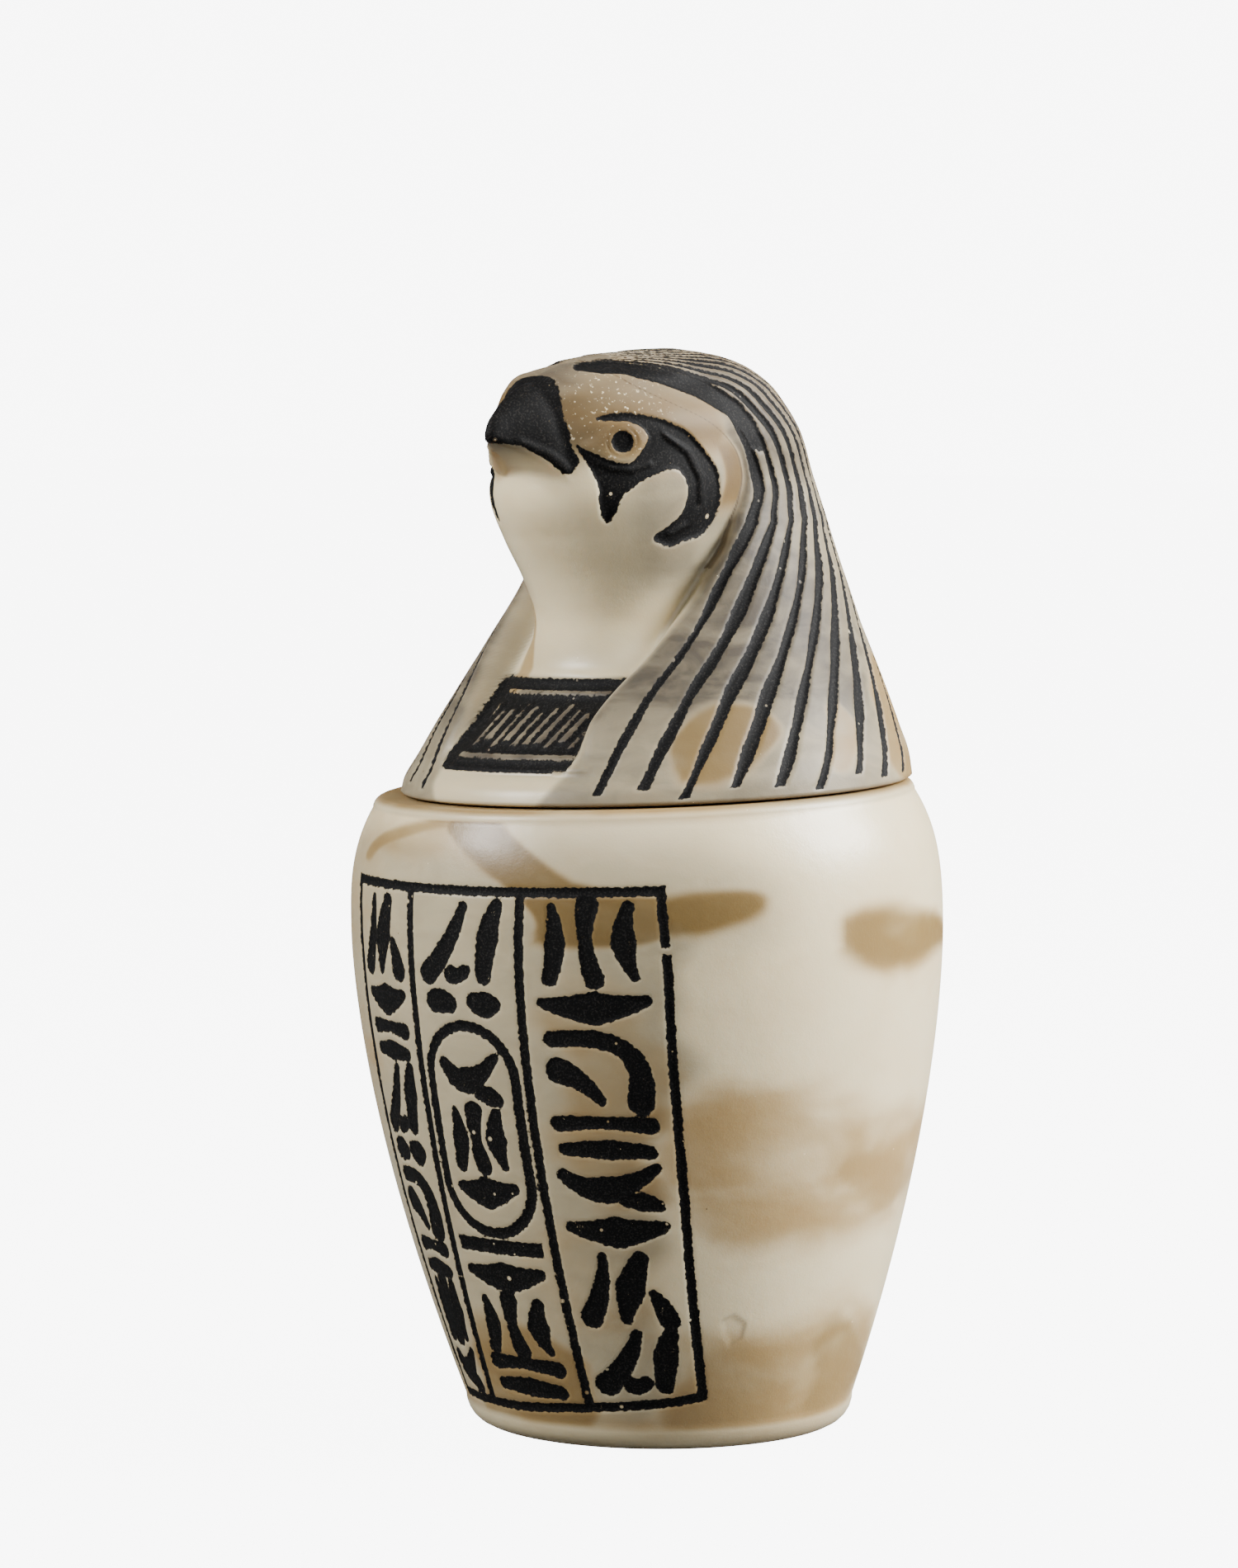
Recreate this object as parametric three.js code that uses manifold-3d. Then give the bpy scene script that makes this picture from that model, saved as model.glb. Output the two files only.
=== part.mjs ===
// Small cast canopic jar with a falcon-headed lid, in millimetres.
// +Z is up, the falcon looks towards -Y, and the origin is the centre of the underside.
import * as THREE from 'three';
import { mergeVertices } from 'three/addons/utils/BufferGeometryUtils.js';
import Module from 'manifold-3d';

// Jar
const jarHeight = 81.1;
const bellyRadius = 37.7;
const bellyHeight = 63.5;
const footRadius = 23.6;
const rimRadius = 33.5;
const footRounding = 3.4;
const rimRounding = 1.5;
const wallThickness = 5;
const floorThickness = 6;
const floorRounding = 4;
const mouthRadius = 25;
const mouthDepth = 9;

// The casting leans a little, and its seat is not quite level
const leanAngle = THREE.MathUtils.degToRad(1.5);
const seatTilt = THREE.MathUtils.degToRad(2);
const leanTurn = THREE.MathUtils.degToRad(-140);

// Lid
const lidHeight = 55.1;
const lidRadius = 32.6;
const lidGap = 0.3;
const lidShift = 1.7;
const plugClearance = 2.2;
const plugLength = 7;
const plugChamfer = 1;
const lidEdgeRounding = 0.4;

// Engraving
const stripesPerSide = 13;
const stripeWidth = 1.7;
const stripeDepth = 0.6;
const panelDepth = 0.5;
const cutterProud = 1.5;
const panelTop = jarHeight - 9.5;
const panelBottom = 5.6;
const panelTopEdges = [-21.4, -7.3, 10.1, 27.8];
const panelBottomEdges = [-15.5, -7, 9, 23];
const panelLine = 1;
const strokeWidth = 1.8;
const ringWidth = 14;
const ringTop = panelTop - 17;
const ringBottom = panelTop - 43.6;
const tieWidth = 1.6;

// Fineness of the facets
const jarSides = 40;
const lowerWallSteps = 6;
const shoulderSteps = 4;
const insideSteps = 3;
const lineSteps = 6;
const ringSteps = 5;
const cornerSteps = 3;
const plugSides = 30;
const faceColumns = 14;
const lowRows = 22;
const highRows = 19;
const rowsPerStripeRow = 3;

const lean = new THREE.Vector3(Math.cos(leanTurn), Math.sin(leanTurn), 0);
const wasm = await Module();
wasm.setup();

const clamp = THREE.MathUtils.clamp;
const lerp = THREE.MathUtils.lerp;
const degToRad = THREE.MathUtils.degToRad;

function asSolid(geometry) {
  const bare = geometry.clone();
  bare.deleteAttribute('normal');
  bare.deleteAttribute('uv');
  const merged = mergeVertices(bare, 1e-5);
  return new wasm.Manifold(new wasm.Mesh({
    numProp: 3,
    vertProperties: new Float32Array(merged.attributes.position.array),
    triVerts: new Uint32Array(merged.index.array),
  }));
}

function asGeometry(solid) {
  const mesh = solid.getMesh();
  const geometry = new THREE.BufferGeometry();
  geometry.setAttribute('position', new THREE.BufferAttribute(mesh.vertProperties, 3));
  geometry.setIndex(new THREE.BufferAttribute(mesh.triVerts, 1));
  geometry.computeVertexNormals();
  return geometry;
}

// A smooth curve through values given at rising heights
function through(heights, values, height) {
  const last = heights.length - 1;
  const at = clamp(height, heights[0], heights[last]);
  let i = 0;
  while (i < last - 1 && at >= heights[i + 1]) i += 1;
  const slope = (j) => (values[j + 1] - values[j]) / (heights[j + 1] - heights[j]);
  const step = (j) => heights[j + 1] - heights[j];
  const tangent = (j) => {
    if (j === 0) return slope(0);
    if (j === last) return slope(last - 1);
    return (slope(j - 1) * step(j) + slope(j) * step(j - 1)) / (step(j - 1) + step(j));
  };
  const h = step(i);
  const t = (at - heights[i]) / h;
  const fromStart = (2 * t ** 3 - 3 * t ** 2 + 1) * values[i] + (t ** 3 - 2 * t ** 2 + t) * h * tangent(i);
  const toEnd = (3 * t ** 2 - 2 * t ** 3) * values[i + 1] + (t ** 3 - t ** 2) * h * tangent(i + 1);
  return fromStart + toEnd;
}

// Jar: outline, hollow and lean
function jarRadius(height) {
  if (height < bellyHeight) {
    return bellyRadius - (bellyRadius - footRadius) * ((bellyHeight - height) / bellyHeight) ** 1.64;
  }
  return bellyRadius - (bellyRadius - rimRadius) * ((height - bellyHeight) / (jarHeight - bellyHeight)) ** 3;
}

function quarterRound(centreRadius, centreHeight, across, along, startDegrees) {
  const points = [];
  for (let i = 0; i <= cornerSteps; i += 1) {
    const turn = degToRad(startDegrees + (90 * i) / cornerSteps);
    points.push(new THREE.Vector2(
      centreRadius + across * Math.cos(turn),
      centreHeight + along * Math.sin(turn),
    ));
  }
  return points;
}

function jarOutline() {
  const footAcross = 0.8 * footRounding;
  const footCentre = jarRadius(footRounding) - footAcross;
  const footEdge = quarterRound(footCentre, footRounding, footAcross, footRounding, -90);
  const rimBase = jarHeight - rimRounding;
  const rimEdge = quarterRound(jarRadius(rimBase) - rimRounding, rimBase, rimRounding, rimRounding, 0);
  const outside = [];
  const addWall = (bottom, top, steps) => {
    for (let i = 1; i <= steps; i += 1) {
      const height = lerp(bottom, top, i / steps);
      outside.push(new THREE.Vector2(jarRadius(height), height));
    }
  };
  addWall(footRounding, bellyHeight, lowerWallSteps);
  addWall(bellyHeight, rimBase, shoulderSteps);
  outside.pop();
  const mouthBottom = jarHeight - mouthDepth;
  const insideTop = mouthBottom - wallThickness;
  const insideBottom = floorThickness + wallThickness;
  const inside = [];
  for (let i = 0; i <= insideSteps; i += 1) {
    const height = lerp(insideTop, insideBottom, i / insideSteps);
    inside.push(new THREE.Vector2(jarRadius(height) - wallThickness, height));
  }
  return [
    new THREE.Vector2(0, 0), ...footEdge, ...outside, ...rimEdge,
    new THREE.Vector2(mouthRadius, jarHeight), new THREE.Vector2(mouthRadius, mouthBottom), ...inside,
    new THREE.Vector2(jarRadius(floorThickness) - wallThickness - floorRounding, floorThickness),
    new THREE.Vector2(0, floorThickness),
  ];
}

// A cutter: a ladder of rungs, each two [arc, height] points, laid on the jar and sunk into it
function panelCutter(ladder) {
  const positions = [];
  ladder.forEach((rung) => {
    rung.forEach(([arc, height]) => {
      [cutterProud, -panelDepth].forEach((offset) => {
        const radius = jarRadius(height);
        const angle = arc / radius;
        positions.push((radius + offset) * Math.sin(angle), -(radius + offset) * Math.cos(angle), height);
      });
    });
  });
  const index = [];
  const quad = (a, b, c, d) => index.push(a, b, c, a, c, d);
  const perRung = 4;
  const last = (ladder.length - 1) * perRung;
  for (let i = 0; i < last; i += perRung) {
    const [leftOut, leftIn, rightOut, rightIn] = [i, i + 1, i + 2, i + 3];
    quad(leftOut, rightOut, rightOut + perRung, leftOut + perRung);
    quad(leftIn, leftIn + perRung, rightIn + perRung, rightIn);
    quad(leftOut, leftOut + perRung, leftIn + perRung, leftIn);
    quad(rightOut, rightIn, rightIn + perRung, rightOut + perRung);
  }
  quad(0, 1, 3, 2);
  quad(last, last + 2, last + 3, last + 1);
  const geometry = new THREE.BufferGeometry();
  geometry.setAttribute('position', new THREE.Float32BufferAttribute(positions, 3));
  geometry.setIndex(index);
  return asSolid(geometry);
}

// A band along a route of [arc, height, width] points
function band(route) {
  const last = route.length - 1;
  return route.map(([arc, height, width], i) => {
    const before = route[Math.max(i - 1, 0)];
    const after = route[Math.min(i + 1, last)];
    const length = Math.hypot(after[0] - before[0], after[1] - before[1]);
    const across = [(before[1] - after[1]) / length * width / 2, (after[0] - before[0]) / length * width / 2];
    return [[arc + across[0], height + across[1]], [arc - across[0], height - across[1]]];
  });
}

function panelEdge(number, height) {
  const share = (height - panelBottom) / (panelTop - panelBottom);
  return lerp(panelBottomEdges[number], panelTopEdges[number], share);
}

function panelPoint(column, across, height) {
  return [lerp(panelEdge(column, height), panelEdge(column + 1, height), across), height];
}

function uprightLine(number) {
  const route = [];
  for (let i = 0; i <= lineSteps; i += 1) {
    const height = lerp(panelBottom - panelLine / 2, panelTop + panelLine / 2, i / lineSteps);
    route.push([panelEdge(number, height), height, panelLine]);
  }
  return band(route);
}

function levelLine(height) {
  const route = [];
  for (let i = 0; i <= lineSteps; i += 1) {
    route.push([lerp(panelEdge(0, height), panelEdge(3, height), i / lineSteps), height, panelLine]);
  }
  return band(route);
}

// Plain strokes, as shares of their cell: start, end and thickness at either end
const strokeKinds = [
  [[0.12, 0.3, 0.88, 0.45, 1.3, 0.7]],
  [[0.22, 0.1, 0.3, 0.9, 0.7, 1.2], [0.68, 0.15, 0.6, 0.85, 1.2, 0.7]],
  [[0.15, 0.75, 0.85, 0.7, 0.8, 1.3], [0.3, 0.28, 0.55, 0.22, 1.1, 0.8]],
  [[0.2, 0.15, 0.8, 0.85, 0.7, 1.4]],
  [[0.2, 0.8, 0.35, 0.2, 1.3, 0.8], [0.6, 0.75, 0.85, 0.25, 0.8, 1.2]],
];

function columnStrokes(column, top, bottom, rows, firstKind) {
  const pitch = (top - bottom) / rows;
  const cell = pitch * 0.8;
  const bands = [];
  for (let row = 0; row < rows; row += 1) {
    strokeKinds[(firstKind + row) % strokeKinds.length].forEach(([x0, y0, x1, y1, startWidth, endWidth]) => {
      const start = panelPoint(column, x0, top - row * pitch - cell * (1 - y0));
      const end = panelPoint(column, x1, top - row * pitch - cell * (1 - y1));
      bands.push(band([[...start, strokeWidth * startWidth], [...end, strokeWidth * endWidth]]));
    });
  }
  return bands;
}

// The ring in the middle column, with the bar that ties it below
function ringBands() {
  const overlap = 0.08;
  const radius = ringWidth / 2;
  const halves = [[], []];
  [[ringTop - radius, 1], [ringBottom + radius, -1]].forEach(([height, up]) => {
    const arc = [[], []];
    for (let i = 0; i <= ringSteps; i += 1) {
      const turn = lerp(-overlap, Math.PI / 2, i / ringSteps);
      const middle = panelPoint(1, 0.5, height)[0];
      [-1, 1].forEach((side, half) => arc[half].push([
        middle + side * radius * Math.sin(turn), height + up * radius * Math.cos(turn), panelLine,
      ]));
    }
    [0, 1].forEach((half) => halves[half].push(...(up > 0 ? arc[half] : arc[half].reverse())));
  });
  const tieEnds = [0.08, 0.92].map((across) => [...panelPoint(1, across, ringBottom - tieWidth), tieWidth]);
  return [...halves.map(band), band(tieEnds)];
}

function leaned(geometry) {
  const position = geometry.attributes.position;
  const point = new THREE.Vector3();
  for (let i = 0; i < position.count; i += 1) {
    point.fromBufferAttribute(position, i);
    const towards = point.dot(lean);
    const height = point.z * (1 - towards * Math.tan(seatTilt) / jarHeight);
    point.addScaledVector(lean, Math.tan(leanAngle) * point.z);
    position.setXYZ(i, point.x, point.y, height);
  }
  geometry.computeVertexNormals();
  return geometry;
}

function jarBody() {
  const upright = new THREE.LatheGeometry(jarOutline(), jarSides).rotateX(Math.PI / 2);
  let solid = asSolid(upright);
  const textTop = panelTop - panelLine;
  const textBottom = panelBottom + panelLine;
  const cuts = [
    ...[0, 1, 2, 3].map(uprightLine),
    levelLine(panelTop),
    levelLine(panelBottom),
    ...ringBands(),
    ...columnStrokes(0, textTop, textBottom, 8, 1),
    ...columnStrokes(1, textTop, ringTop + panelLine, 2, 2),
    ...columnStrokes(1, ringBottom - 2 * tieWidth, textBottom, 3, 4),
    ...columnStrokes(2, textTop, textBottom, 7, 0),
  ];
  cuts.forEach((ladder) => {
    solid = solid.subtract(panelCutter(ladder));
  });
  return leaned(asGeometry(solid));
}

// Lid sections at heights above its underside.
// Heights are shares of its height and all else shares of its radius, in hundredths.
const wig = {
  height: [0, 6, 12, 23, 35, 46, 58, 69, 81, 86, 92, 97.6, 100],
  side: [100, 97, 92.6, 83.5, 73, 64, 54.6, 50, 48, 44.8, 39.3, 25.5, 0],
  front: [100, 97, 92.6, 83.5, 73, 64.4, 60, 60, 61, 60, 54, 32, 0],
  back: [99.4, 96, 91.4, 82, 72, 63.5, 63, 56.7, 50.6, 47, 40.5, 26, 0],
  centre: [0, -3, -5, -10, -15, -20, -20, -20, -17, -15, -12, -8, -6],
};
const face = {
  height: [0, 25, 40, 49, 58, 67, 77.5, 84, 88, 92, 95, 97.6, 99.6],
  side: [46, 43, 34.4, 37.4, 43, 47, 47, 45.7, 41.7, 36.2, 32.5, 24.5, 0],
  front: [43, 39.3, 36.8, 42.3, 51.5, 61.3, 62.3, 62.3, 61.3, 59.8, 53.7, 36.8, 0],
  back: [55, 55, 55, 55, 55, 55, 55, 55, 49, 43, 37, 24.5, 0],
  centre: [15, 15, 15, 15, 14, 11, 9, 9, 9, 9, 9, 9, 9],
};
const chestTop = 18.7;
const chest = {
  height: [0, 3.6, 8.5, 16.3, 25.6, 31, 38],
  side: [100, 99, 96, 86, 73.6, 61, 49],
  front: [100, 97.5, 87, 71, 52, 43, 31],
};
// The beak, at distances in front of the lid's axis
const beak = {
  reach: [61, 66.6, 71.2, 78.2, 85, 91, 94.5],
  top: [94.2, 94, 93.3, 91.5, 89, 85.8, 82],
  bottom: [68.2, 70.8, 73.7, 77, 79.3, 80.8, 81.1],
  halfWidth: [20.2, 18.7, 16.3, 11, 6.1, 2.8, 0.9],
  root: 3.9,
};
// Angles from the front at levels: the wig's front edge, its first stripe and the stripes' spread
const edge = {
  level: [0, 9, 19, 25.5, 30, 36, 44, 50, 55, 60, 66, 73, 77, 81, 85, 90, 100],
  angle: [11, 17, 19, 24.4, 30, 37, 48, 56, 64, 69, 82, 96, 99, 93, 82, 66, 45],
};
const firstStripe = {
  level: [0, 15, 24, 31, 40, 48, 55, 60, 68, 73, 78, 84, 89, 95, 100],
  angle: [22.6, 28.5, 34, 41, 51, 60, 70, 78, 97, 104, 109, 112, 100, 82, 70],
  spread: [1.45, 1.2, 1.08, 1, 0.88, 0.75, 0.68, 0.62, 0.6, 0.6, 0.6, 0.6, 0.6, 0.6, 0.6],
};
// The raised collar ornament and its bars
const collar = {
  bottom: 4.1,
  top: 14.3,
  halfWidth: 10.8,
  proud: 0.8,
  barsBottom: 6.3,
  barsTop: 12.4,
  barDepth: 0.45,
};
const share = lidRadius / 100;
const rise = lidHeight / 100;
const spineBack = -4;
const spineTop = 33;
const poleStart = spineTop / rise;
const poleTilt = degToRad(38);
const seam = {
  wigEdge: 1.6,
  wigOnFace: 0.4,
  chestTop: 7,
  faceOnChest: 3,
  beakEdges: 0.5,
  beakTop: 1,
  beakOnFace: 0.5,
};

const reachAt = (heights, values, height) => (
  Math.sqrt(Math.max(through(heights, values.map((v) => v * v), height), 1e-4))
);

function smoothUnion(a, b, width) {
  const h = clamp(0.5 + 0.5 * (b - a) / width, 0, 1);
  return b + (a - b) * h - width * h * (1 - h);
}

const smoothCut = (a, b, width) => -smoothUnion(-a, -b, width);

function ovalDistance(x, y, side, along) {
  const ratio = Math.hypot(x / side, y / along) + 1e-9;
  return Math.hypot(x, y) * (1 - 1 / ratio);
}

function steepness(section, values, height) {
  const e = 0.5;
  const change = (reachAt(section.height, values, height + e) - reachAt(section.height, values, height - e));
  const slope = change * share / (2 * e * rise);
  return 1 / Math.sqrt(1 + Math.min(slope * slope, 16));
}

// Angle about the spine, and level: height up to the pole's start, then turn towards the crown
function angleAndLevel(x, forward, z) {
  const up = Math.max(z - spineTop, 0) / Math.cos(poleTilt);
  const ahead = forward - spineBack - up * Math.sin(poleTilt);
  const angle = THREE.MathUtils.radToDeg(Math.atan2(Math.abs(x), ahead));
  const turn = Math.atan2(up, Math.hypot(x, ahead)) / (Math.PI / 2);
  const level = up > 0 ? poleStart + turn * (100 - poleStart) : z / rise;
  return { angle, level, distance: Math.hypot(x, ahead) };
}

// Signed distance to the lid's surface; x to the side, forward out of the face, z up
function lidForm(x, forward, z) {
  const height = z / rise;
  const wigAhead = forward - through(wig.height, wig.centre, height) * share;
  const wigAlong = reachAt(wig.height, wigAhead > 0 ? wig.front : wig.back, height) * share;
  let hair = ovalDistance(x, wigAhead, reachAt(wig.height, wig.side, height) * share, wigAlong);
  hair = Math.max(hair * steepness(wig, wig.side, height), z - lidHeight);
  const at = angleAndLevel(x, forward, z);
  const hairEdge = degToRad(through(edge.level, edge.angle, at.level) - at.angle) * at.distance;
  hair = smoothCut(hair, hairEdge * 0.8, seam.wigEdge);

  const faceAhead = forward - through(face.height, face.centre, height) * share;
  const faceAlong = reachAt(face.height, faceAhead > 0 ? face.front : face.back, height) * share;
  let head = ovalDistance(x, faceAhead, reachAt(face.height, face.side, height) * share, faceAlong);
  head = Math.max(head * steepness(face, face.side, height), z - face.height[12] * rise);

  const chestAlong = forward > 0 ? reachAt(chest.height, chest.front, height) : chest.side[6];
  let bust = ovalDistance(x, forward, reachAt(chest.height, chest.side, height) * share, chestAlong * share);
  bust = smoothCut(bust * steepness(chest, chest.front, height), z - chestTop, seam.chestTop);
  const block = Math.max(Math.abs(x) - collar.halfWidth, collar.bottom - z, z - collar.top);
  bust = Math.min(bust, Math.max(bust - collar.proud, block));

  const ahead = clamp(forward / share, beak.reach[0], beak.reach[6]);
  const top = through(beak.reach, beak.top, ahead) * rise;
  const bottom = through(beak.reach, beak.bottom, ahead) * rise;
  const upBeak = clamp((z - bottom) / (top - bottom), 0, 1);
  const halfWidth = through(beak.reach, beak.halfWidth, ahead) * share * (1 - upBeak ** 2.2) ** 0.6;
  const sides = smoothCut((Math.abs(x) - halfWidth) * 0.85, bottom - z, seam.beakEdges);
  const ends = smoothCut((z - top) * 0.8, forward - beak.reach[6] * share, seam.beakTop);
  const inFront = forward > beak.reach[0] * share - beak.root;
  const bill = inFront ? smoothCut(sides, ends, seam.beakTop) : lidRadius;

  const front = smoothUnion(head, bust, seam.faceOnChest);
  return smoothUnion(smoothUnion(front, hair, seam.wigOnFace), bill, seam.beakOnFace);
}

// The outermost point of the lid on a ray from its spine
function surfacePoint(angleDegrees, level) {
  const angle = degToRad(angleDegrees);
  const start = { ahead: spineBack, z: Math.min(level, poleStart) * rise };
  const turn = Math.max(level - poleStart, 0) / (100 - poleStart) * Math.PI / 2;
  const way = new THREE.Vector3(
    Math.cos(turn) * Math.sin(angle),
    Math.cos(turn) * Math.cos(angle) + Math.sin(turn) * Math.sin(poleTilt),
    Math.sin(turn) * Math.cos(poleTilt),
  ).normalize();
  const inside = (t) => lidForm(way.x * t, start.ahead + way.y * t, start.z + way.z * t);
  let far = lidRadius * 1.5;
  let step = 1;
  while (step > 1e-3) {
    while (far > step && inside(far - step) > 0) far -= step;
    step /= 4;
  }
  return new THREE.Vector3(way.x * far, start.ahead + way.y * far, start.z + way.z * far);
}

// Sunk eye, eye marking and brow, seen from the side the eye faces
const markTurn = degToRad(40);
const eye = { back: -2.9, up: 44, radius: 1.3 };
const markOutline = [
  [-18.4, 85.5], [-9.2, 86.9], [3.1, 85.5], [15.6, 81.7], [27, 72.2], [27.3, 65], [21.8, 58.6], [7.7, 55.9],
  [2.1, 57.9], [13.5, 63.3], [16, 69], [11.7, 73.3], [2.1, 72.2], [-8.6, 68.2], [-14.1, 62.3], [-17.5, 63.5],
  [-18.7, 71.3], [-25.5, 79.1], [-18.4, 76.8], [-12.3, 75.1], [-4.9, 75], [1.2, 80], [-0.6, 82.9],
  [-5.8, 84.8], [-10.7, 84.9],
];
const markDepth = 0.6;
const markSoftness = 0.6;
const markBottom = 28.7;

// The stripes begin this far above the lid's edge and end this far below the crown
const stripeFoot = 0.8;
const stripeHead = 2.2;
const valleyInset = 0.4;

function outlineDistance(outline, x, y) {
  let nearest = Infinity;
  let inside = false;
  outline.forEach(([x0, y0], i) => {
    const [x1, y1] = outline[(i + 1) % outline.length];
    const along = clamp(((x - x0) * (x1 - x0) + (y - y0) * (y1 - y0))
      / ((x1 - x0) ** 2 + (y1 - y0) ** 2), 0, 1);
    nearest = Math.min(nearest, Math.hypot(x - x0 - along * (x1 - x0), y - y0 - along * (y1 - y0)));
    const crosses = (y0 > y) !== (y1 > y);
    if (crosses && x < (x1 - x0) * (y - y0) / (y1 - y0) + x0) inside = !inside;
  });
  return inside ? -nearest : nearest;
}

function markSink(point) {
  const back = Math.abs(point.x) * Math.cos(markTurn) - point.y * Math.sin(markTurn);
  const placed = markOutline.map(([x, y]) => [x * share, y * rise]);
  const mark = clamp(0.5 - outlineDistance(placed, back, point.z) / markSoftness, 0, 1);
  const fromPupil = Math.hypot(back - eye.back, point.z - eye.up);
  const pupil = clamp(1.5 - fromPupil / eye.radius, 0, 1);
  return markDepth * Math.max(mark, pupil);
}

// The collar's bars: every other column of its middle is sunk
function collarSink(point, columnNumber) {
  const inBand = point.z > collar.barsBottom && point.z < collar.barsTop;
  const across = Math.abs(point.x) < collar.halfWidth - collar.proud;
  return inBand && across && columnNumber % 2 === 1 ? collar.barDepth : 0;
}

function rowLevels() {
  const second = lidEdgeRounding / rise;
  const levels = [0, second];
  for (let i = 1; i <= lowRows; i += 1) levels.push(lerp(second, poleStart, i / lowRows));
  for (let i = 1; i <= highRows; i += 1) levels.push(lerp(poleStart, 100, i / highRows));
  return levels;
}

function lidColumns() {
  const half = [];
  for (let i = 0; i <= faceColumns; i += 1) half.push({ kind: 'face', number: i, across: i / faceColumns });
  [0.35, 0.7].forEach((across) => half.push({ kind: 'edge', across }));
  for (let i = 0; i < stripesPerSide; i += 1) {
    [-1, 0, 1].forEach((side) => half.push({ kind: 'stripe', number: i, side }));
  }
  const backStripe = [-1, 0].map((side) => ({ kind: 'stripe', number: stripesPerSide, side }));
  const right = [...half, backStripe[0]];
  const left = right.slice(1).reverse().map((column) => ({ ...column, mirrored: true }));
  return [...right, backStripe[1], ...left];
}

function stripeAngle(number, level) {
  const first = through(firstStripe.level, firstStripe.angle, level);
  const spread = through(firstStripe.level, firstStripe.spread, level);
  const t = number / stripesPerSide;
  return first + (180 - first) * t / (t + (1 - t) * spread);
}

// How far the lid's surface is from its spine, straight out, on a ray
function reachOut(angle, level) {
  const point = surfacePoint(angle, level);
  return Math.max(Math.hypot(point.x, point.y - spineBack), 2);
}

function halfStripe(number, level) {
  const angle = stripeAngle(number, level);
  const next = number < stripesPerSide ? number + 1 : number - 1;
  const gap = Math.abs(stripeAngle(next, level) - angle);
  const wanted = THREE.MathUtils.radToDeg(stripeWidth / 2 / reachOut(angle, level));
  return Math.min(wanted, 0.28 * gap);
}

function columnAngle(column, level) {
  if (column.kind === 'stripe') {
    return stripeAngle(column.number, level) + column.side * halfStripe(column.number, level);
  }
  const edgeAngle = through(edge.level, edge.angle, level);
  const valley = edgeAngle - THREE.MathUtils.radToDeg(valleyInset / reachOut(edgeAngle, level));
  if (column.kind === 'face') return valley * column.across;
  return lerp(valley, stripeAngle(0, level) - halfStripe(0, level), column.across);
}

function columnDepth(column, level, point) {
  if (column.kind === 'face') {
    return point.z > markBottom ? markSink(point) : collarSink(point, column.number);
  }
  if (column.kind === 'edge' || column.side !== 0) return 0;
  const width = degToRad(2 * halfStripe(column.number, level)) * reachOut(columnAngle(column, level), level);
  const foot = clamp(level * rise / stripeFoot - 1, 0, 1);
  const head = clamp((100 - level) * rise / stripeHead - 1, 0, 1);
  return Math.min(stripeDepth, width * 0.4) * foot * head;
}

function columnPoint(column, level) {
  const point = surfacePoint(columnAngle(column, level), level);
  const depth = columnDepth(column, level, point);
  const inward = new THREE.Vector3(0, spineBack, Math.min(level, poleStart) * rise).sub(point).normalize();
  point.addScaledVector(inward, depth);
  if (level === 0) point.multiplyScalar(1 - lidEdgeRounding / lidRadius).setZ(0);
  if (column.mirrored) point.x *= -1;
  return point;
}

// The lid's skin: columns that follow the stripes, finer up the face than behind it
function lidSkin() {
  const levels = rowLevels();
  const columns = lidColumns();
  const positions = [];
  const addPoint = (point) => {
    positions.push(point.x, -point.y, point.z);
    return positions.length / 3 - 1;
  };
  const coarse = (column) => column.kind === 'stripe' && column.number + column.side / 2 > 0;
  const rails = columns.map((column) => {
    const rail = [];
    levels.slice(0, -1).forEach((level, row) => {
      const kept = !coarse(column) || row < 2 || row % rowsPerStripeRow === 0;
      if (kept) rail.push({ row, index: addPoint(columnPoint(column, level)) });
    });
    return rail;
  });
  const crown = addPoint(surfacePoint(0, 100));
  const foot = addPoint(new THREE.Vector3(0, 0, 0));
  const index = [];
  rails.forEach((rail, i) => {
    const next = rails[(i + 1) % rails.length];
    let a = 0;
    let b = 0;
    while (a < rail.length - 1 || b < next.length - 1) {
      const riseA = a < rail.length - 1 ? rail[a + 1].row : Infinity;
      const riseB = b < next.length - 1 ? next[b + 1].row : Infinity;
      if (riseA <= riseB) {
        index.push(rail[a].index, next[b].index, rail[a + 1].index);
        a += 1;
      } else {
        index.push(rail[a].index, next[b].index, next[b + 1].index);
        b += 1;
      }
    }
    index.push(rail[a].index, next[b].index, crown);
    index.push(foot, next[0].index, rail[0].index);
  });
  const geometry = new THREE.BufferGeometry();
  geometry.setAttribute('position', new THREE.Float32BufferAttribute(positions, 3));
  geometry.setIndex(index);
  return geometry;
}

function falconLid() {
  const plugRadius = mouthRadius - plugClearance;
  const plugTop = 2 * plugChamfer;
  const plug = new THREE.LatheGeometry([
    new THREE.Vector2(0, -plugLength),
    new THREE.Vector2(plugRadius - plugChamfer, -plugLength),
    new THREE.Vector2(plugRadius, plugChamfer - plugLength),
    new THREE.Vector2(plugRadius, plugTop),
    new THREE.Vector2(0, plugTop),
  ], plugSides);
  plug.rotateX(Math.PI / 2);
  return asGeometry(asSolid(lidSkin()).add(asSolid(plug)));
}

const alabasterResin = new THREE.MeshStandardMaterial({ color: 0xd8d2c4, roughness: 0.35, metalness: 0 });

const jar = new THREE.Mesh(jarBody(), alabasterResin);
jar.name = 'jar_body';

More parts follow.
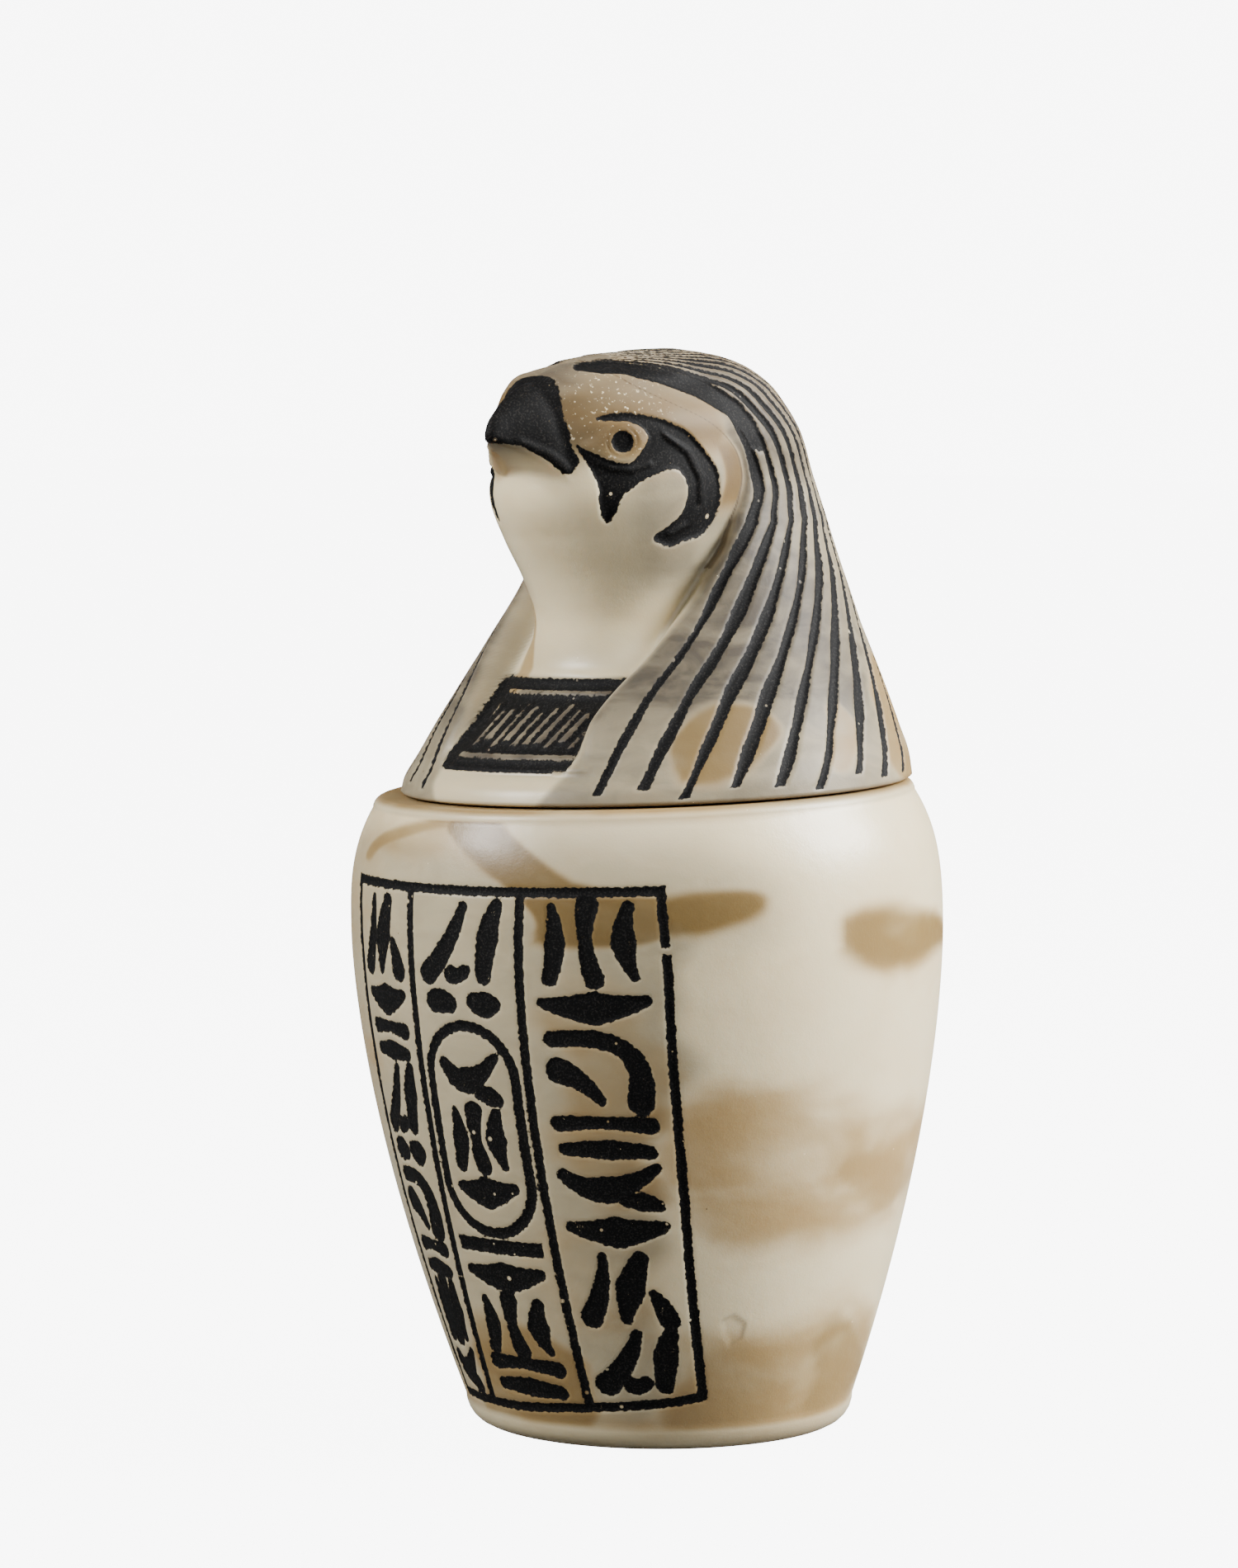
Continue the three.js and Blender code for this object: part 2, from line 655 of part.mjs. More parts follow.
const lid = new THREE.Mesh(falconLid(), alabasterResin);
lid.name = 'falcon_lid';
const seatNormal = new THREE.Vector3(0, 0, 1).addScaledVector(lean, Math.tan(seatTilt)).normalize();
lid.quaternion.setFromUnitVectors(new THREE.Vector3(0, 0, 1), seatNormal);
lid.position.copy(lean).multiplyScalar(Math.tan(leanAngle) * jarHeight - lidShift);
lid.position.z = jarHeight + lidShift * Math.tan(seatTilt);
lid.position.addScaledVector(seatNormal, lidGap);

const canopicJar = new THREE.Group();
canopicJar.add(jar, lid);
export default canopicJar;
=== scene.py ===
import math
from functools import partial
import bpy
import numpy as np
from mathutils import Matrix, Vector


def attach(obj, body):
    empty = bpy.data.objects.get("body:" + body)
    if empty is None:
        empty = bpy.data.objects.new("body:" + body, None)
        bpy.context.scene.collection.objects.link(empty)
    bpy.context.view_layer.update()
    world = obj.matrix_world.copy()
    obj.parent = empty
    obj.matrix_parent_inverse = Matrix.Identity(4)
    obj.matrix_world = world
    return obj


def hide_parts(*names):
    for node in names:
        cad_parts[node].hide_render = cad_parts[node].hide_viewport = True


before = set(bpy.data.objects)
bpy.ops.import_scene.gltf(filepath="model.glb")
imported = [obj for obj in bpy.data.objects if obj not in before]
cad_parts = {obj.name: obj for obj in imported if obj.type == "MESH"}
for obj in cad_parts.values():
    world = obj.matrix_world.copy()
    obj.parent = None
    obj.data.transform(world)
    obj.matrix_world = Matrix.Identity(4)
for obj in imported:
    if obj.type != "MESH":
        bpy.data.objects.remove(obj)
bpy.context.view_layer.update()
print("frame loaded")

mm = 0.001


def addObject(name, data):
    made = bpy.data.objects.new(name, data)
    bpy.context.scene.collection.objects.link(made)
    return made


# Camera: as the photograph sees it, a little above the jar and 40 degrees to its left side

photoView = {
    "azimuth": 40,       # degrees from the jar's front
    "distance": 720,     # mm, everything below is in mm too
    "height": 144,
    "aimHeight": 81.3,
    "aside": 5.25,       # the jar stands this far right of the middle
    "lens": 165.1,
}


def placeCamera(look):
    turn = math.radians(look["azimuth"])
    across = Vector((math.cos(turn), math.sin(turn), 0))
    ahead = Vector((-math.sin(turn), math.cos(turn), 0))
    place = -look["distance"] * ahead - look["aside"] * across + Vector((0, 0, look["height"]))
    down = (look["height"] - look["aimHeight"]) / look["distance"]
    data = bpy.data.cameras.new("photoCamera")
    data.lens = look["lens"]
    data.sensor_width = 36
    data.sensor_fit = "HORIZONTAL"
    data.clip_end = 20
    camera = addObject("photoCamera", data)
    camera.location = place * mm
    camera.rotation_euler = (ahead - Vector((0, 0, down))).to_track_quat("-Z", "Y").to_euler()
    bpy.context.scene.camera = camera


placeCamera(photoView)
print("camera placed")


# Helpers for forms, all in mm

def through(heights, values, height):
    # a smooth curve through values given at rising heights
    heights = np.asarray(heights, float)
    values = np.asarray(values, float)
    steps = np.diff(heights)
    slopes = np.diff(values) / steps
    tangents = np.empty(len(heights))
    tangents[0] = slopes[0]
    tangents[-1] = slopes[-1]
    tangents[1:-1] = slopes[:-1] * steps[1:] + slopes[1:] * steps[:-1]
    tangents[1:-1] /= steps[1:] + steps[:-1]
    at = np.clip(height, heights[0], heights[-1])
    i = np.clip(np.searchsorted(heights, at, side="right") - 1, 0, len(heights) - 2)
    s = (at - heights[i]) / steps[i]
    fromStart = (2 * s**3 - 3 * s**2 + 1) * values[i]
    fromStart += (s**3 - 2 * s**2 + s) * steps[i] * tangents[i]
    toEnd = (3 * s**2 - 2 * s**3) * values[i + 1]
    toEnd += (s**3 - s**2) * steps[i] * tangents[i + 1]
    return fromStart + toEnd


def blend(low, high, part):
    return low + (high - low) * part


def eased(low, high, value):
    s = np.clip((value - low) / (high - low), 0, 1)
    return s * s * (3 - 2 * s)


def smoothUnion(a, b, width):
    h = np.clip(0.5 + 0.5 * (b - a) / width, 0, 1)
    return b + (a - b) * h - width * h * (1 - h)


def smoothCut(a, b, width):
    return -smoothUnion(-a, -b, width)


def band(value, low, high):
    # signed distance to the span from low to high
    return np.maximum(low - value, value - high)


def nowhere(like):
    # distances that are further than any mark reaches
    return np.full(np.shape(like), 99.0)


def lineDistance(x, y, start, end):
    # distance to a line, and how far along it the nearest spot is, from 0 to 1
    (x0, y0), (x1, y1) = start, end
    dx, dy = x1 - x0, y1 - y0
    along = np.clip(((x - x0) * dx + (y - y0) * dy) / (dx * dx + dy * dy), 0, 1)
    return np.hypot(x - x0 - along * dx, y - y0 - along * dy), along


def strokeDistance(x, y, route):
    # signed distance to a brush stroke: a route of (x, y, half width)
    nearest = nowhere(x)
    for (*start, r0), (*end, r1) in zip(route[:-1], route[1:]):
        gap, along = lineDistance(x, y, start, end)
        nearest = np.minimum(nearest, gap - blend(r0, r1, along))
    return nearest


def bentStroke(start, bend, end, widths, steps=9):
    # a stroke drawn from start to end past bend, with half widths at the three
    s = np.linspace(0, 1, steps)
    x = (1 - s)**2 * start[0] + 2 * s * (1 - s) * bend[0] + s**2 * end[0]
    y = (1 - s)**2 * start[1] + 2 * s * (1 - s) * bend[1] + s**2 * end[1]
    return list(zip(x, y, np.interp(s, [0, 0.5, 1], widths)))


def outlineDistance(x, y, outline):
    # signed distance to a closed outline, negative inside
    nearest = nowhere(x)
    inside = np.zeros(np.shape(x), bool)
    for start, end in zip(outline, outline[1:] + outline[:1]):
        nearest = np.minimum(nearest, lineDistance(x, y, start, end)[0])
        (x0, y0), (x1, y1) = start, end
        if y0 != y1:
            inside ^= ((y0 > y) != (y1 > y)) & (x < (x1 - x0) * (y - y0) / (y1 - y0) + x0)
    return np.where(inside, -nearest, nearest)


def roundedOutline(corners, steps=4):
    # a closed smooth curve through the corners
    points = np.array(corners, float)
    before, after, second = np.roll(points, 1, 0), np.roll(points, -1, 0), np.roll(points, -2, 0)
    curve = []
    for i in range(len(points)):
        for s in np.arange(steps) / steps:
            curve.append(tuple(0.5 * (
                2 * points[i] + (after[i] - before[i]) * s
                + (2 * before[i] - 5 * points[i] + 4 * after[i] - second[i]) * s**2
                + (3 * points[i] - before[i] - 3 * after[i] + second[i]) * s**3)))
    return curve


def gridPiece(name, rows, bottom, top, values):
    # a closed skin from rows of points, each row one turn, with a point at either end
    rowCount, columnCount = rows.shape[:2]
    points = np.vstack([rows.reshape(-1, 3), [bottom], [top]]) * mm
    row, column = np.meshgrid(np.arange(rowCount - 1), np.arange(columnCount), indexing="ij")
    a = row * columnCount + column
    b = row * columnCount + (column + 1) % columnCount
    quads = np.stack([a, b, b + columnCount, a + columnCount], -1).reshape(-1, 4)
    ring = np.arange(columnCount)
    ringNext = (ring + 1) % columnCount
    bottomIndex, topIndex = len(points) - 2, len(points) - 1
    last = (rowCount - 1) * columnCount
    caps = np.vstack([
        np.stack([ringNext, ring, np.full(columnCount, bottomIndex)], -1),
        np.stack([last + ring, last + ringNext, np.full(columnCount, topIndex)], -1)])
    mesh = bpy.data.meshes.new(name)
    mesh.from_pydata(points.tolist(), [], quads.tolist() + caps.tolist())
    mesh.shade_smooth()
    for valueName, numbers in values.items():
        ends = [numbers[0].mean(), numbers[-1].mean()]
        layer = mesh.attributes.new(valueName, "FLOAT", "POINT")
        layer.data.foreach_set("value", np.concatenate([numbers.ravel(), ends]).astype(np.float32))
    return addObject(name, mesh)


# Jar: outline, lean, and the sunk panel of plain brush strokes

jarMake = {
    "height": 81.1,
    "bellyRadius": 37.7,
    "bellyHeight": 63.5,
    "footRadius": 23.6,
    "rimRadius": 33.5,
    "footRounding": 3.4,
    "rimRounding": 1.5,
    "undersideRings": (8, 14, 18),
    "rimRings": (30, 28, 26.5),
    "wall": 5,
    "floor": 6,
    "floorRounding": 4,
    "floorFillet": (2, 1.2),   # mm across and up
    "mouthRadius": 25,
    "mouthDepth": 9,
    "mouthEdge": 0.5,
    "leanDegrees": 1.5,
    "seatDegrees": 2,
    "leanTurn": -140,
    "inkDepth": 0.2,
    "fineStep": 0.33,
    "fineAngles": (-41, 66),
    "coarseColumns": 105,
    "chip": [(55.6, 17.2), (58.4, 17.9), (61.8, 16.7), (61.2, 14.8), (58.2, 14.0), (56.6, 15.1)],
    "chipDepth": 0.14,
}

leanTurn = math.radians(jarMake["leanTurn"])
lean = Vector((math.cos(leanTurn), math.sin(leanTurn), 0))
seatSlope = math.tan(math.radians(jarMake["seatDegrees"]))
leanSlope = math.tan(math.radians(jarMake["leanDegrees"]))


def jarRadius(height):
    belly, bellyHeight = jarMake["bellyRadius"], jarMake["bellyHeight"]
    below = np.clip((bellyHeight - height) / bellyHeight, 0, 1)
    above = np.clip((height - bellyHeight) / (jarMake["height"] - bellyHeight), 0, 1)
    return (belly - (belly - jarMake["footRadius"]) * below**1.64
            - (belly - jarMake["rimRadius"]) * above**3)


def quarterRound(centreRadius, centreHeight, across, along, startDegrees, steps=7):
    turns = np.radians(startDegrees + np.linspace(0, 90, steps))
    return [(centreRadius + across * math.cos(t), centreHeight + along * math.sin(t)) for t in turns]


def jarOutline():
    make = jarMake
    footAcross = 0.8 * make["footRounding"]
    footCentre = jarRadius(make["footRounding"]) - footAcross
    rimBase = make["height"] - make["rimRounding"]
    rimCentre = jarRadius(rimBase) - make["rimRounding"]
    wallHeights = np.arange(make["footRounding"] + 0.4, rimBase - 0.3, make["fineStep"])
    mouthBottom = make["height"] - make["mouthDepth"]
    mouthEdge = make["mouthEdge"]
    filletAcross, filletUp = make["floorFillet"]
    insideHeights = np.linspace(mouthBottom - make["wall"], make["floor"] + make["wall"], 9)
    floorEdge = jarRadius(make["floor"]) - make["wall"] - make["floorRounding"]
    return (
        [(r, 0) for r in make["undersideRings"]]
        + quarterRound(footCentre, make["footRounding"], footAcross, make["footRounding"], -90)
        + [(jarRadius(h), h) for h in wallHeights]
        + quarterRound(rimCentre, rimBase, make["rimRounding"], make["rimRounding"], 0)
        + [(r, make["height"]) for r in make["rimRings"]]
        + quarterRound(make["mouthRadius"] + mouthEdge, make["height"] - mouthEdge,
                       -mouthEdge, mouthEdge, 90, 4)[::-1]
        + [(make["mouthRadius"], h) for h in np.linspace(make["height"] - 2, mouthBottom, 4)]
        + [(jarRadius(h) - make["wall"], h) for h in insideHeights]
        + [(floorEdge + filletAcross, make["floor"] + filletUp), (floorEdge, make["floor"]),
           (make["undersideRings"][0], make["floor"])])


# The panel lies on the front; arc is mm round the jar from its middle, towards its left side
panel = {
    "edgeHeights": [4, 20, 35, 50, 64, 72],
    "edges": [
        [-15.2, -17.6, -19.5, -20.2, -21, -21.6],
        [-7, -7.1, -7.2, -7.2, -7.3, -7.3],
        [9, 9.3, 9.6, 9.8, 10, 10.2],
        [23.2, 25.4, 27.2, 28.2, 28.5, 27.7],
    ],
    "top": 71.5,
    "bottomArcs": [-16, -2, 9, 19.7, 24],
    "bottomHeights": [4.5, 4.7, 5.6, 6.6, 7.4],
    "line": 0.5,
    # where the paint missed an upright: which, height, half length
    "gaps": [(3, 64.2, 0.5), (1, 21.4, 0.2)],
    "rowGap": 0.5,    # between rows of strokes
    "sideGap": 1.9,   # from a line's middle to a column's strokes
    "topGap": 1.1,
    "ringGaps": (1, 3),   # to the strokes above the ring and to those within
    "tieGap": 1.6,
    "feet": {"left": 5.4, "middle": 6.6, "right": 8},
    "ring": {"top": 54.6, "bottom": 28, "halfWidth": 6.7, "line": 0.6},
    "tie": {"height": 26.2, "halfWidth": 6.6, "line": 0.85},
}

# Plain brush strokes, in shares of their cell: start, bend, end, and half widths in mm
strokeKinds = {
    "uprights": [
        [(0.16, 0.93), (0.24, 0.5), (0.14, 0.06), (0.5, 1.25, 0.9)],
        [(0.48, 0.95), (0.42, 0.5), (0.52, 0.06), (1.3, 0.75, 1.2)],
        [(0.84, 0.93), (0.72, 0.5), (0.86, 0.08), (0.7, 1.5, 0.5)]],
    "longDash": [[(0.06, 0.6), (0.5, 0.3), (0.94, 0.64), (0.6, 2.0, 0.65)]],
    "leaning": [
        [(0.1, 0.1), (0.3, 0.5), (0.32, 0.93), (1.3, 0.95, 0.45)],
        [(0.46, 0.08), (0.52, 0.5), (0.68, 0.9), (0.6, 1.75, 1.0)],
        [(0.78, 0.42), (0.86, 0.24), (0.9, 0.08), (0.6, 1.1, 1.3)]],
    "hook": [
        [(0.12, 0.88), (0.98, 1.02), (0.84, 0.12), (0.95, 1.05, 1.6)],
        [(0.16, 0.5), (0.34, 0.42), (0.5, 0.14), (1.6, 1.2, 0.6)]],
    "twoDashes": [
        [(0.1, 0.8), (0.5, 0.88), (0.9, 0.76), (0.95, 0.65, 1.0)],
        [(0.12, 0.2), (0.5, 0.24), (0.88, 0.14), (0.7, 1.2, 0.8)]],
    "blots": [
        [(0.16, 0.5), (0.25, 0.54), (0.34, 0.44), (1.4, 1.5, 1.2)],
        [(0.64, 0.56), (0.76, 0.42), (0.86, 0.5), (1.1, 1.6, 0.9)]],
    "crossed": [
        [(0.1, 0.1), (0.4, 0.42), (0.54, 0.92), (1.4, 1.1, 0.6)],
        [(0.9, 0.94), (0.8, 0.6), (0.76, 0.1), (0.8, 1.5, 1.0)],
        [(0.4, 0.1), (0.5, 0.08), (0.56, 0.16), (1.1, 0.9, 0.7)]],
    "sweep": [
        [(0.08, 0.72), (0.4, 0.06), (0.92, 0.88), (0.8, 1.7, 0.55)],
        [(0.62, 0.2), (0.76, 0.22), (0.9, 0.1), (0.7, 1.2, 0.8)]],
}

# What each column holds from the top down, with each row's share of the height
strokeRows = {
    "left": [("leaning", 11), ("longDash", 5), ("twoDashes", 5), ("crossed", 9.6), ("blots", 4),
             ("hook", 9), ("twoDashes", 5), ("uprights", 8.6), ("sweep", 6.4)],
    "aboveRing": [("crossed", 10.4), ("blots", 3.8)],
    "ring": [("sweep", 6.2), ("uprights", 7), ("longDash", 4.2)],
    "underRing": [("longDash", 4.6), ("uprights", 7.4), ("twoDashes", 5)],
    "right": [("uprights", 10.4), ("longDash", 4.8), ("hook", 10.6), ("twoDashes", 5.6), ("sweep", 6.4),
              ("longDash", 4.4), ("leaning", 10), ("crossed", 8.6)],
}


def panelEdge(number, height):
    return through(panel["edgeHeights"], panel["edges"][number], height)


def cellStrokes(kind, leftArc, rightArc, top, height):
    for *spots, widths in strokeKinds[kind]:
        levels = [top - height * (1 - y) for x, y in spots]
        yield bentStroke(*[(blend(leftArc(level), rightArc(level), x), level)
                           for (x, y), level in zip(spots, levels)], widths)


def columnRoutes(rows, leftArc, rightArc, top, bottom):
    gap = panel["rowGap"]
    scale = (top - bottom - gap * (len(rows) - 1)) / sum(height for kind, height in rows)
    routes = []
    for kind, height in rows:
        routes += cellStrokes(kind, leftArc, rightArc, top, height * scale)
        top -= height * scale + gap
    return routes


def ringMiddle(height):
    return (panelEdge(1, height) + panelEdge(2, height)) / 2


def panelRoutes():
    def beside(number, side):
        return lambda height: float(panelEdge(number, height)) + side * panel["sideGap"]

    def inRing(side):
        return lambda height: float(ringMiddle(height)) + side * (ring["halfWidth"] - panel["sideGap"])

    ring, feet = panel["ring"], panel["feet"]
    above, within = panel["ringGaps"]
    top = panel["top"] - panel["topGap"]
    columns = {
        "left": (beside(0, 1), beside(1, -1), top, feet["left"]),
        "aboveRing": (beside(1, 1), beside(2, -1), top, ring["top"] + above),
        "ring": (inRing(-1), inRing(1), ring["top"] - within, ring["bottom"] + within),
        "underRing": (beside(1, 1), beside(2, -1), panel["tie"]["height"] - panel["tieGap"],
                      feet["middle"]),
        "right": (beside(2, 1), beside(3, -1), top, feet["right"]),
    }
    return [route for name, sides in columns.items()
            for route in columnRoutes(strokeRows[name], *sides)]


def panelInk(arc, height):
    top = panel["top"]
    bottom = np.interp(arc, panel["bottomArcs"], panel["bottomHeights"])
    ink = nowhere(arc)
    for number in range(len(panel["edges"])):
        upright = np.abs(arc - panelEdge(number, height)) - panel["line"]
        upright = np.maximum(upright, band(height, bottom, top) - panel["line"])
        for line, at, half in panel["gaps"]:
            if line == number:
                upright = np.maximum(upright, half - np.abs(height - at))
        ink = np.minimum(ink, upright)
    sides = band(arc, panelEdge(0, height), panelEdge(3, height)) - panel["line"]
    for level in (np.abs(height - top), np.abs(height - bottom)):
        ink = np.minimum(ink, np.maximum(level - panel["line"], sides))
    ring = panel["ring"]
    middle = ringMiddle(height)
    straight = np.clip(height, ring["bottom"] + ring["halfWidth"], ring["top"] - ring["halfWidth"])
    fromRing = np.abs(np.hypot(arc - middle, height - straight) - ring["halfWidth"]) - ring["line"]
    tie = panel["tie"]
    fromTie = np.maximum(np.abs(arc - middle) - tie["halfWidth"],
                         np.abs(height - tie["height"]) - tie["line"])
    ink = np.minimum(ink, np.minimum(fromRing, fromTie))
    for route in panelRoutes():
        ink = np.minimum(ink, strokeDistance(arc, height, route))
    return ink


# Tan and golden clouds in the cast: strength, how golden, softness in mm, and corners given as
# degrees from the front and mm up
jarClouds = [
    (0.5, 0.7, 1.6, [(-29, 73.8), (-8, 80.8), (8, 81), (24, 74.6), (14, 73.6), (0, 75.6), (-14, 75)]),
    (0.8, 0.7, 0.8, [(-30, 73.5), (-24, 77), (-8, 80.6), (4, 81), (4, 79.6), (-8, 78.6),
                     (-20, 75.4), (-26, 73)]),
    (0.95, 0.95, 0.8, [(0, 81), (10, 81), (18, 77.6), (27, 73.6), (42, 71.5), (42, 67.5), (34, 65),
                       (16, 66), (14, 72), (4, 76.5), (-2, 79.4)]),
    (0.95, 0.95, 1.3, [(40, 71.2), (52, 70.9), (60, 69.9), (61, 67.6), (54, 66.2), (38, 66.4)]),
    (0.95, 0.9, 1.9, [(78, 66.4), (90, 67.4), (102, 66), (116, 65.4), (134, 62.4), (120, 60.4),
                      (102, 59.2), (87, 59.7), (77, 62)]),
    (0.7, 0.35, 4.0, [(44, 47), (66, 46.5), (84, 42), (130, 41), (138, 30), (100, 26), (72, 24.5),
                      (48, 27)]),
    (0.62, 0.35, 3.0, [(50, 43), (70, 43), (76, 34), (60, 27), (50, 30)]),
    (0.8, 0.5, 2.8, [(80, 34), (90, 38.5), (106, 36), (126, 33), (114, 29.4), (94, 27)]),
    (0.8, 0.45, 4.0, [(46, 14), (80, 15), (114, 15), (116, 0), (46, 0)]),
    (0.9, 0.7, 2.4, [(80, 11), (90, 15.6), (104, 13.6), (120, 9), (112, 3.4), (90, 2)]),
    (0.6, 0.4, 3.5, [(-60, 4), (0, 5), (60, 5), (120, 4), (120, -9), (-60, -9)]),
    (0.9, 0.7, 2.2, [(-18, 15), (0, 18), (18, 12), (20, 0), (-18, 0)]),
    (0.7, 0.5, 3.0, [(22, 60), (42, 56), (42, 34), (26, 32), (20, 46)]),
    (0.5, 0.4, 4.0, [(10, 30), (40, 28), (42, 14), (14, 16)]),
    (0.35, 0.4, 4.0, [(-70, 80), (-22, 80), (-30, 62), (-70, 58)]),
    (0.7, 0.6, 2.5, [(150, 66), (195, 68), (200, 60), (160, 57)]),
    (0.8, 0.3, 4.0, [(190, 38), (240, 41), (252, 27), (200, 22)]),
    (0.8, 0.6, 2.0, [(235, 71), (280, 71), (285, 65), (240, 63)]),
    (0.6, 0.4, 4.0, [(215, 18), (262, 20), (266, 5), (220, 3)]),
    (0.5, 0.3, 4.0, [(285, 54), (322, 56), (326, 40), (290, 36)]),
]


# Greyer, clearer parts of the jar's cast, in the same order
jarSmoke = [
    (0.42, 0, 6, [(14, 80), (50, 79), (62, 72), (56, 64), (14, 70)]),
    (0.56, 0, 2.5, [(-55, 71), (42, 71), (39, 30), (36, 3), (-55, 3)]),
    (0.35, 0, 5, [(-55, 16), (40, 16), (70, 8), (70, -6), (-55, -6)]),
    (0.4, 0, 6, [(150, 80), (230, 80), (240, 48), (160, 44)]),
    (0.4, 0, 6, [(230, 30), (300, 34), (300, -6), (220, -6)]),
]


def drifted(angle, height):
    # cast colour never has straight edges
    turn = np.radians(angle)
    return (angle + 3 * np.sin(height * 0.33 + 1.3) + 1.2 * np.sin(height * 0.8 + 3 * turn),
            height + 0.8 * np.sin(3 * turn + 0.7) + 0.4 * np.sin(9 * turn + height * 0.2))


def cloudLayers(angle, height, clouds):
    angle, height = drifted(angle, height)
    degreeArc = 0.6   # mm round the piece for a degree
    cloud, gold = np.zeros(height.shape), np.zeros(height.shape)
    for strength, golden, soft, corners in clouds:
        middle = sum(corner[0] for corner in corners) / len(corners)
        turn = (angle - middle + 180) % 360 - 180
        outline = roundedOutline([((corner[0] - middle) * degreeArc, corner[1]) for corner in corners])
        part = strength * eased(soft, -soft, outlineDistance(turn * degreeArc, height, outline))
        cloud = np.maximum(cloud, part)
        gold = np.maximum(gold, part * golden)
    return cloud, gold


def leaned(points):
    towards = points[..., 0] * lean.x + points[..., 1] * lean.y
    height = points[..., 2]
    return np.stack([
        points[..., 0] + lean.x * leanSlope * height,
        points[..., 1] + lean.y * leanSlope * height,
        height * (1 - towards * seatSlope / jarMake["height"])], -1)


def makeJar():
    low, high = jarMake["fineAngles"]
    fine = np.arange(low, high, math.degrees(jarMake["fineStep"] / jarMake["bellyRadius"]))
    coarse = np.linspace(high, low + 360, jarMake["coarseColumns"], endpoint=False)
    angles = np.concatenate([fine, coarse])
    outline = np.array(jarOutline())
    radius, height = [np.repeat(column[:, None], len(angles), 1) for column in outline.T]
    degrees = np.repeat(angles[None, :], len(outline), 0)
    turn = np.radians(degrees)
    arc = np.radians((degrees + 180) % 360 - 180) * jarRadius(height)
    outside = np.abs(radius - jarRadius(height)) < 0.01
    ink = np.where(outside, panelInk(arc, height), nowhere(arc))
    degreeArc = 0.5   # mm round the jar for a degree, down where the chip is
    chipOutline = [(angle * degreeArc, up) for angle, up in jarMake["chip"]]
    chip = outlineDistance(degrees * degreeArc, height, chipOutline)
    chip = np.where(outside, chip, nowhere(chip))
    sunk = radius - jarMake["inkDepth"] * eased(0.22, -0.22, ink)
    sunk = sunk - jarMake["chipDepth"] * eased(0.3, -0.4, chip)
    points = np.stack([sunk * np.sin(turn), -sunk * np.cos(turn), height], -1)
    # painted shade in the gap under the lid: the top of the rim is painted tan and darker, with some
    # dirt
    rimStainAndShade = eased(jarMake["height"] - 0.9, jarMake["height"] - 0.1, height) * (radius > 24)
    cloud, gold = cloudLayers(degrees % 360, height, jarClouds)
    inside = (radius < jarRadius(height) - 2) & (height > jarMake["floor"] - 0.1)
    values = {
        "ink": ink,
        "cloud": np.maximum(np.where(outside, cloud, 0.15), 0.8 * rimStainAndShade),
        "gold": np.maximum(np.where(outside, gold, 0.1), 0.5 * rimStainAndShade),
        "smoke": np.where(outside, cloudLayers(degrees % 360, height, jarSmoke)[0], 0.3),
        "crack": nowhere(height),
        "paintedGlint": np.zeros(height.shape),
        # grime and painted shade: dirt in the chip, painted shade inside the jar's hollow and in the
        # gap under the lid
        "grimeAndShade": 0.25 * rimStainAndShade + 0.25 * inside + 0.25 * eased(0.35, 0.0, np.abs(chip)),
    }
    piece = gridPiece("jarBody", leaned(points), (0, 0, 0), (0, 0, jarMake["floor"]), values)
    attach(piece, "root")
    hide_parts("jar_body")
    print("jar made,", len(piece.data.polygons), "faces")
    return piece


# Lid: sections at heights above its underside, heights in hundredths of its height
# and all else in hundredths of its radius. x is to the side, forward is out of the face.

lidMake = {
    "height": 55.1,
    "radius": 32.6,
    "gap": 0.3,
    "shift": 1.7,
    "plugClearance": 2.2,
    "plugLength": 7,
    "plugChamfer": 1,
    "undersideRings": (8, 16, 29),
    "plugRings": (-3, -0.4),
    "edgeInset": 0.4,
    "columns": 460,
    "rows": 196,
    "evenings": 14,
}
wig = {
    "height": [0, 6, 12, 23, 35, 46, 58, 69, 81, 86, 92, 97.6, 100],
    "side": [100, 97, 92.6, 83.5, 73, 64, 54.6, 50, 48, 44.8, 39.3, 25.5, 0],
    "front": [100, 97, 92.6, 83.5, 73, 64.4, 60, 60, 61, 60, 54, 32, 0],
    "back": [99.4, 96, 91.4, 82, 72, 63.5, 63, 56.7, 50.6, 47, 40.5, 26, 0],
    "centre": [0, -3, -5, -10, -15, -20, -20, -20, -17, -15, -12, -8, -6],
}
face = {
    "height": [0, 25, 40, 49, 58, 67, 77.5, 84, 88, 92, 95, 97.6, 99.6],
    "side": [46, 43, 34.4, 37.4, 43, 47, 47, 45.7, 41.7, 36.2, 32.5, 24.5, 0],
    "front": [43, 39.3, 36.8, 42.3, 51.5, 61.3, 62.3, 62.3, 61.3, 59.8, 53.7, 36.8, 0],
    "back": [55, 55, 55, 55, 55, 55, 55, 55, 49, 43, 37, 24.5, 0],
    "centre": [15, 15, 15, 15, 14, 11, 9, 9, 9, 9, 9, 9, 9],
}
chest = {
    "height": [0, 3.6, 8.5, 16.3, 25.6, 31, 38],
    "side": [100, 99, 96, 86, 73.6, 61, 49],
    "front": [100, 97.5, 87, 71, 52, 43, 31],
    "top": 34,
}
beak = {
    "reach": [61, 66.6, 71.2, 78.2, 85, 91, 94.5],
    "top": [94.2, 94, 93.3, 91.5, 89, 85.8, 82],
    "bottom": [68.2, 70.8, 73.7, 77, 79.3, 80.8, 81.1],
    "halfWidth": [20.2, 18.7, 16.3, 11, 6.1, 2.8, 0.9],
    "root": 12,
}
wigEdge = {
    "level": [0, 9, 19, 25.5, 30, 36, 44, 50, 55, 60, 66, 73, 77, 81, 85, 90, 100],
    "angle": [11, 17, 19, 24.4, 30, 37, 48, 56, 64, 69, 82, 96, 99, 93, 82, 66, 45],
    "farExtra": 5,
}
collar = {"bottom": 7.5, "top": 26, "halfWidth": 37, "proud": 2.4}
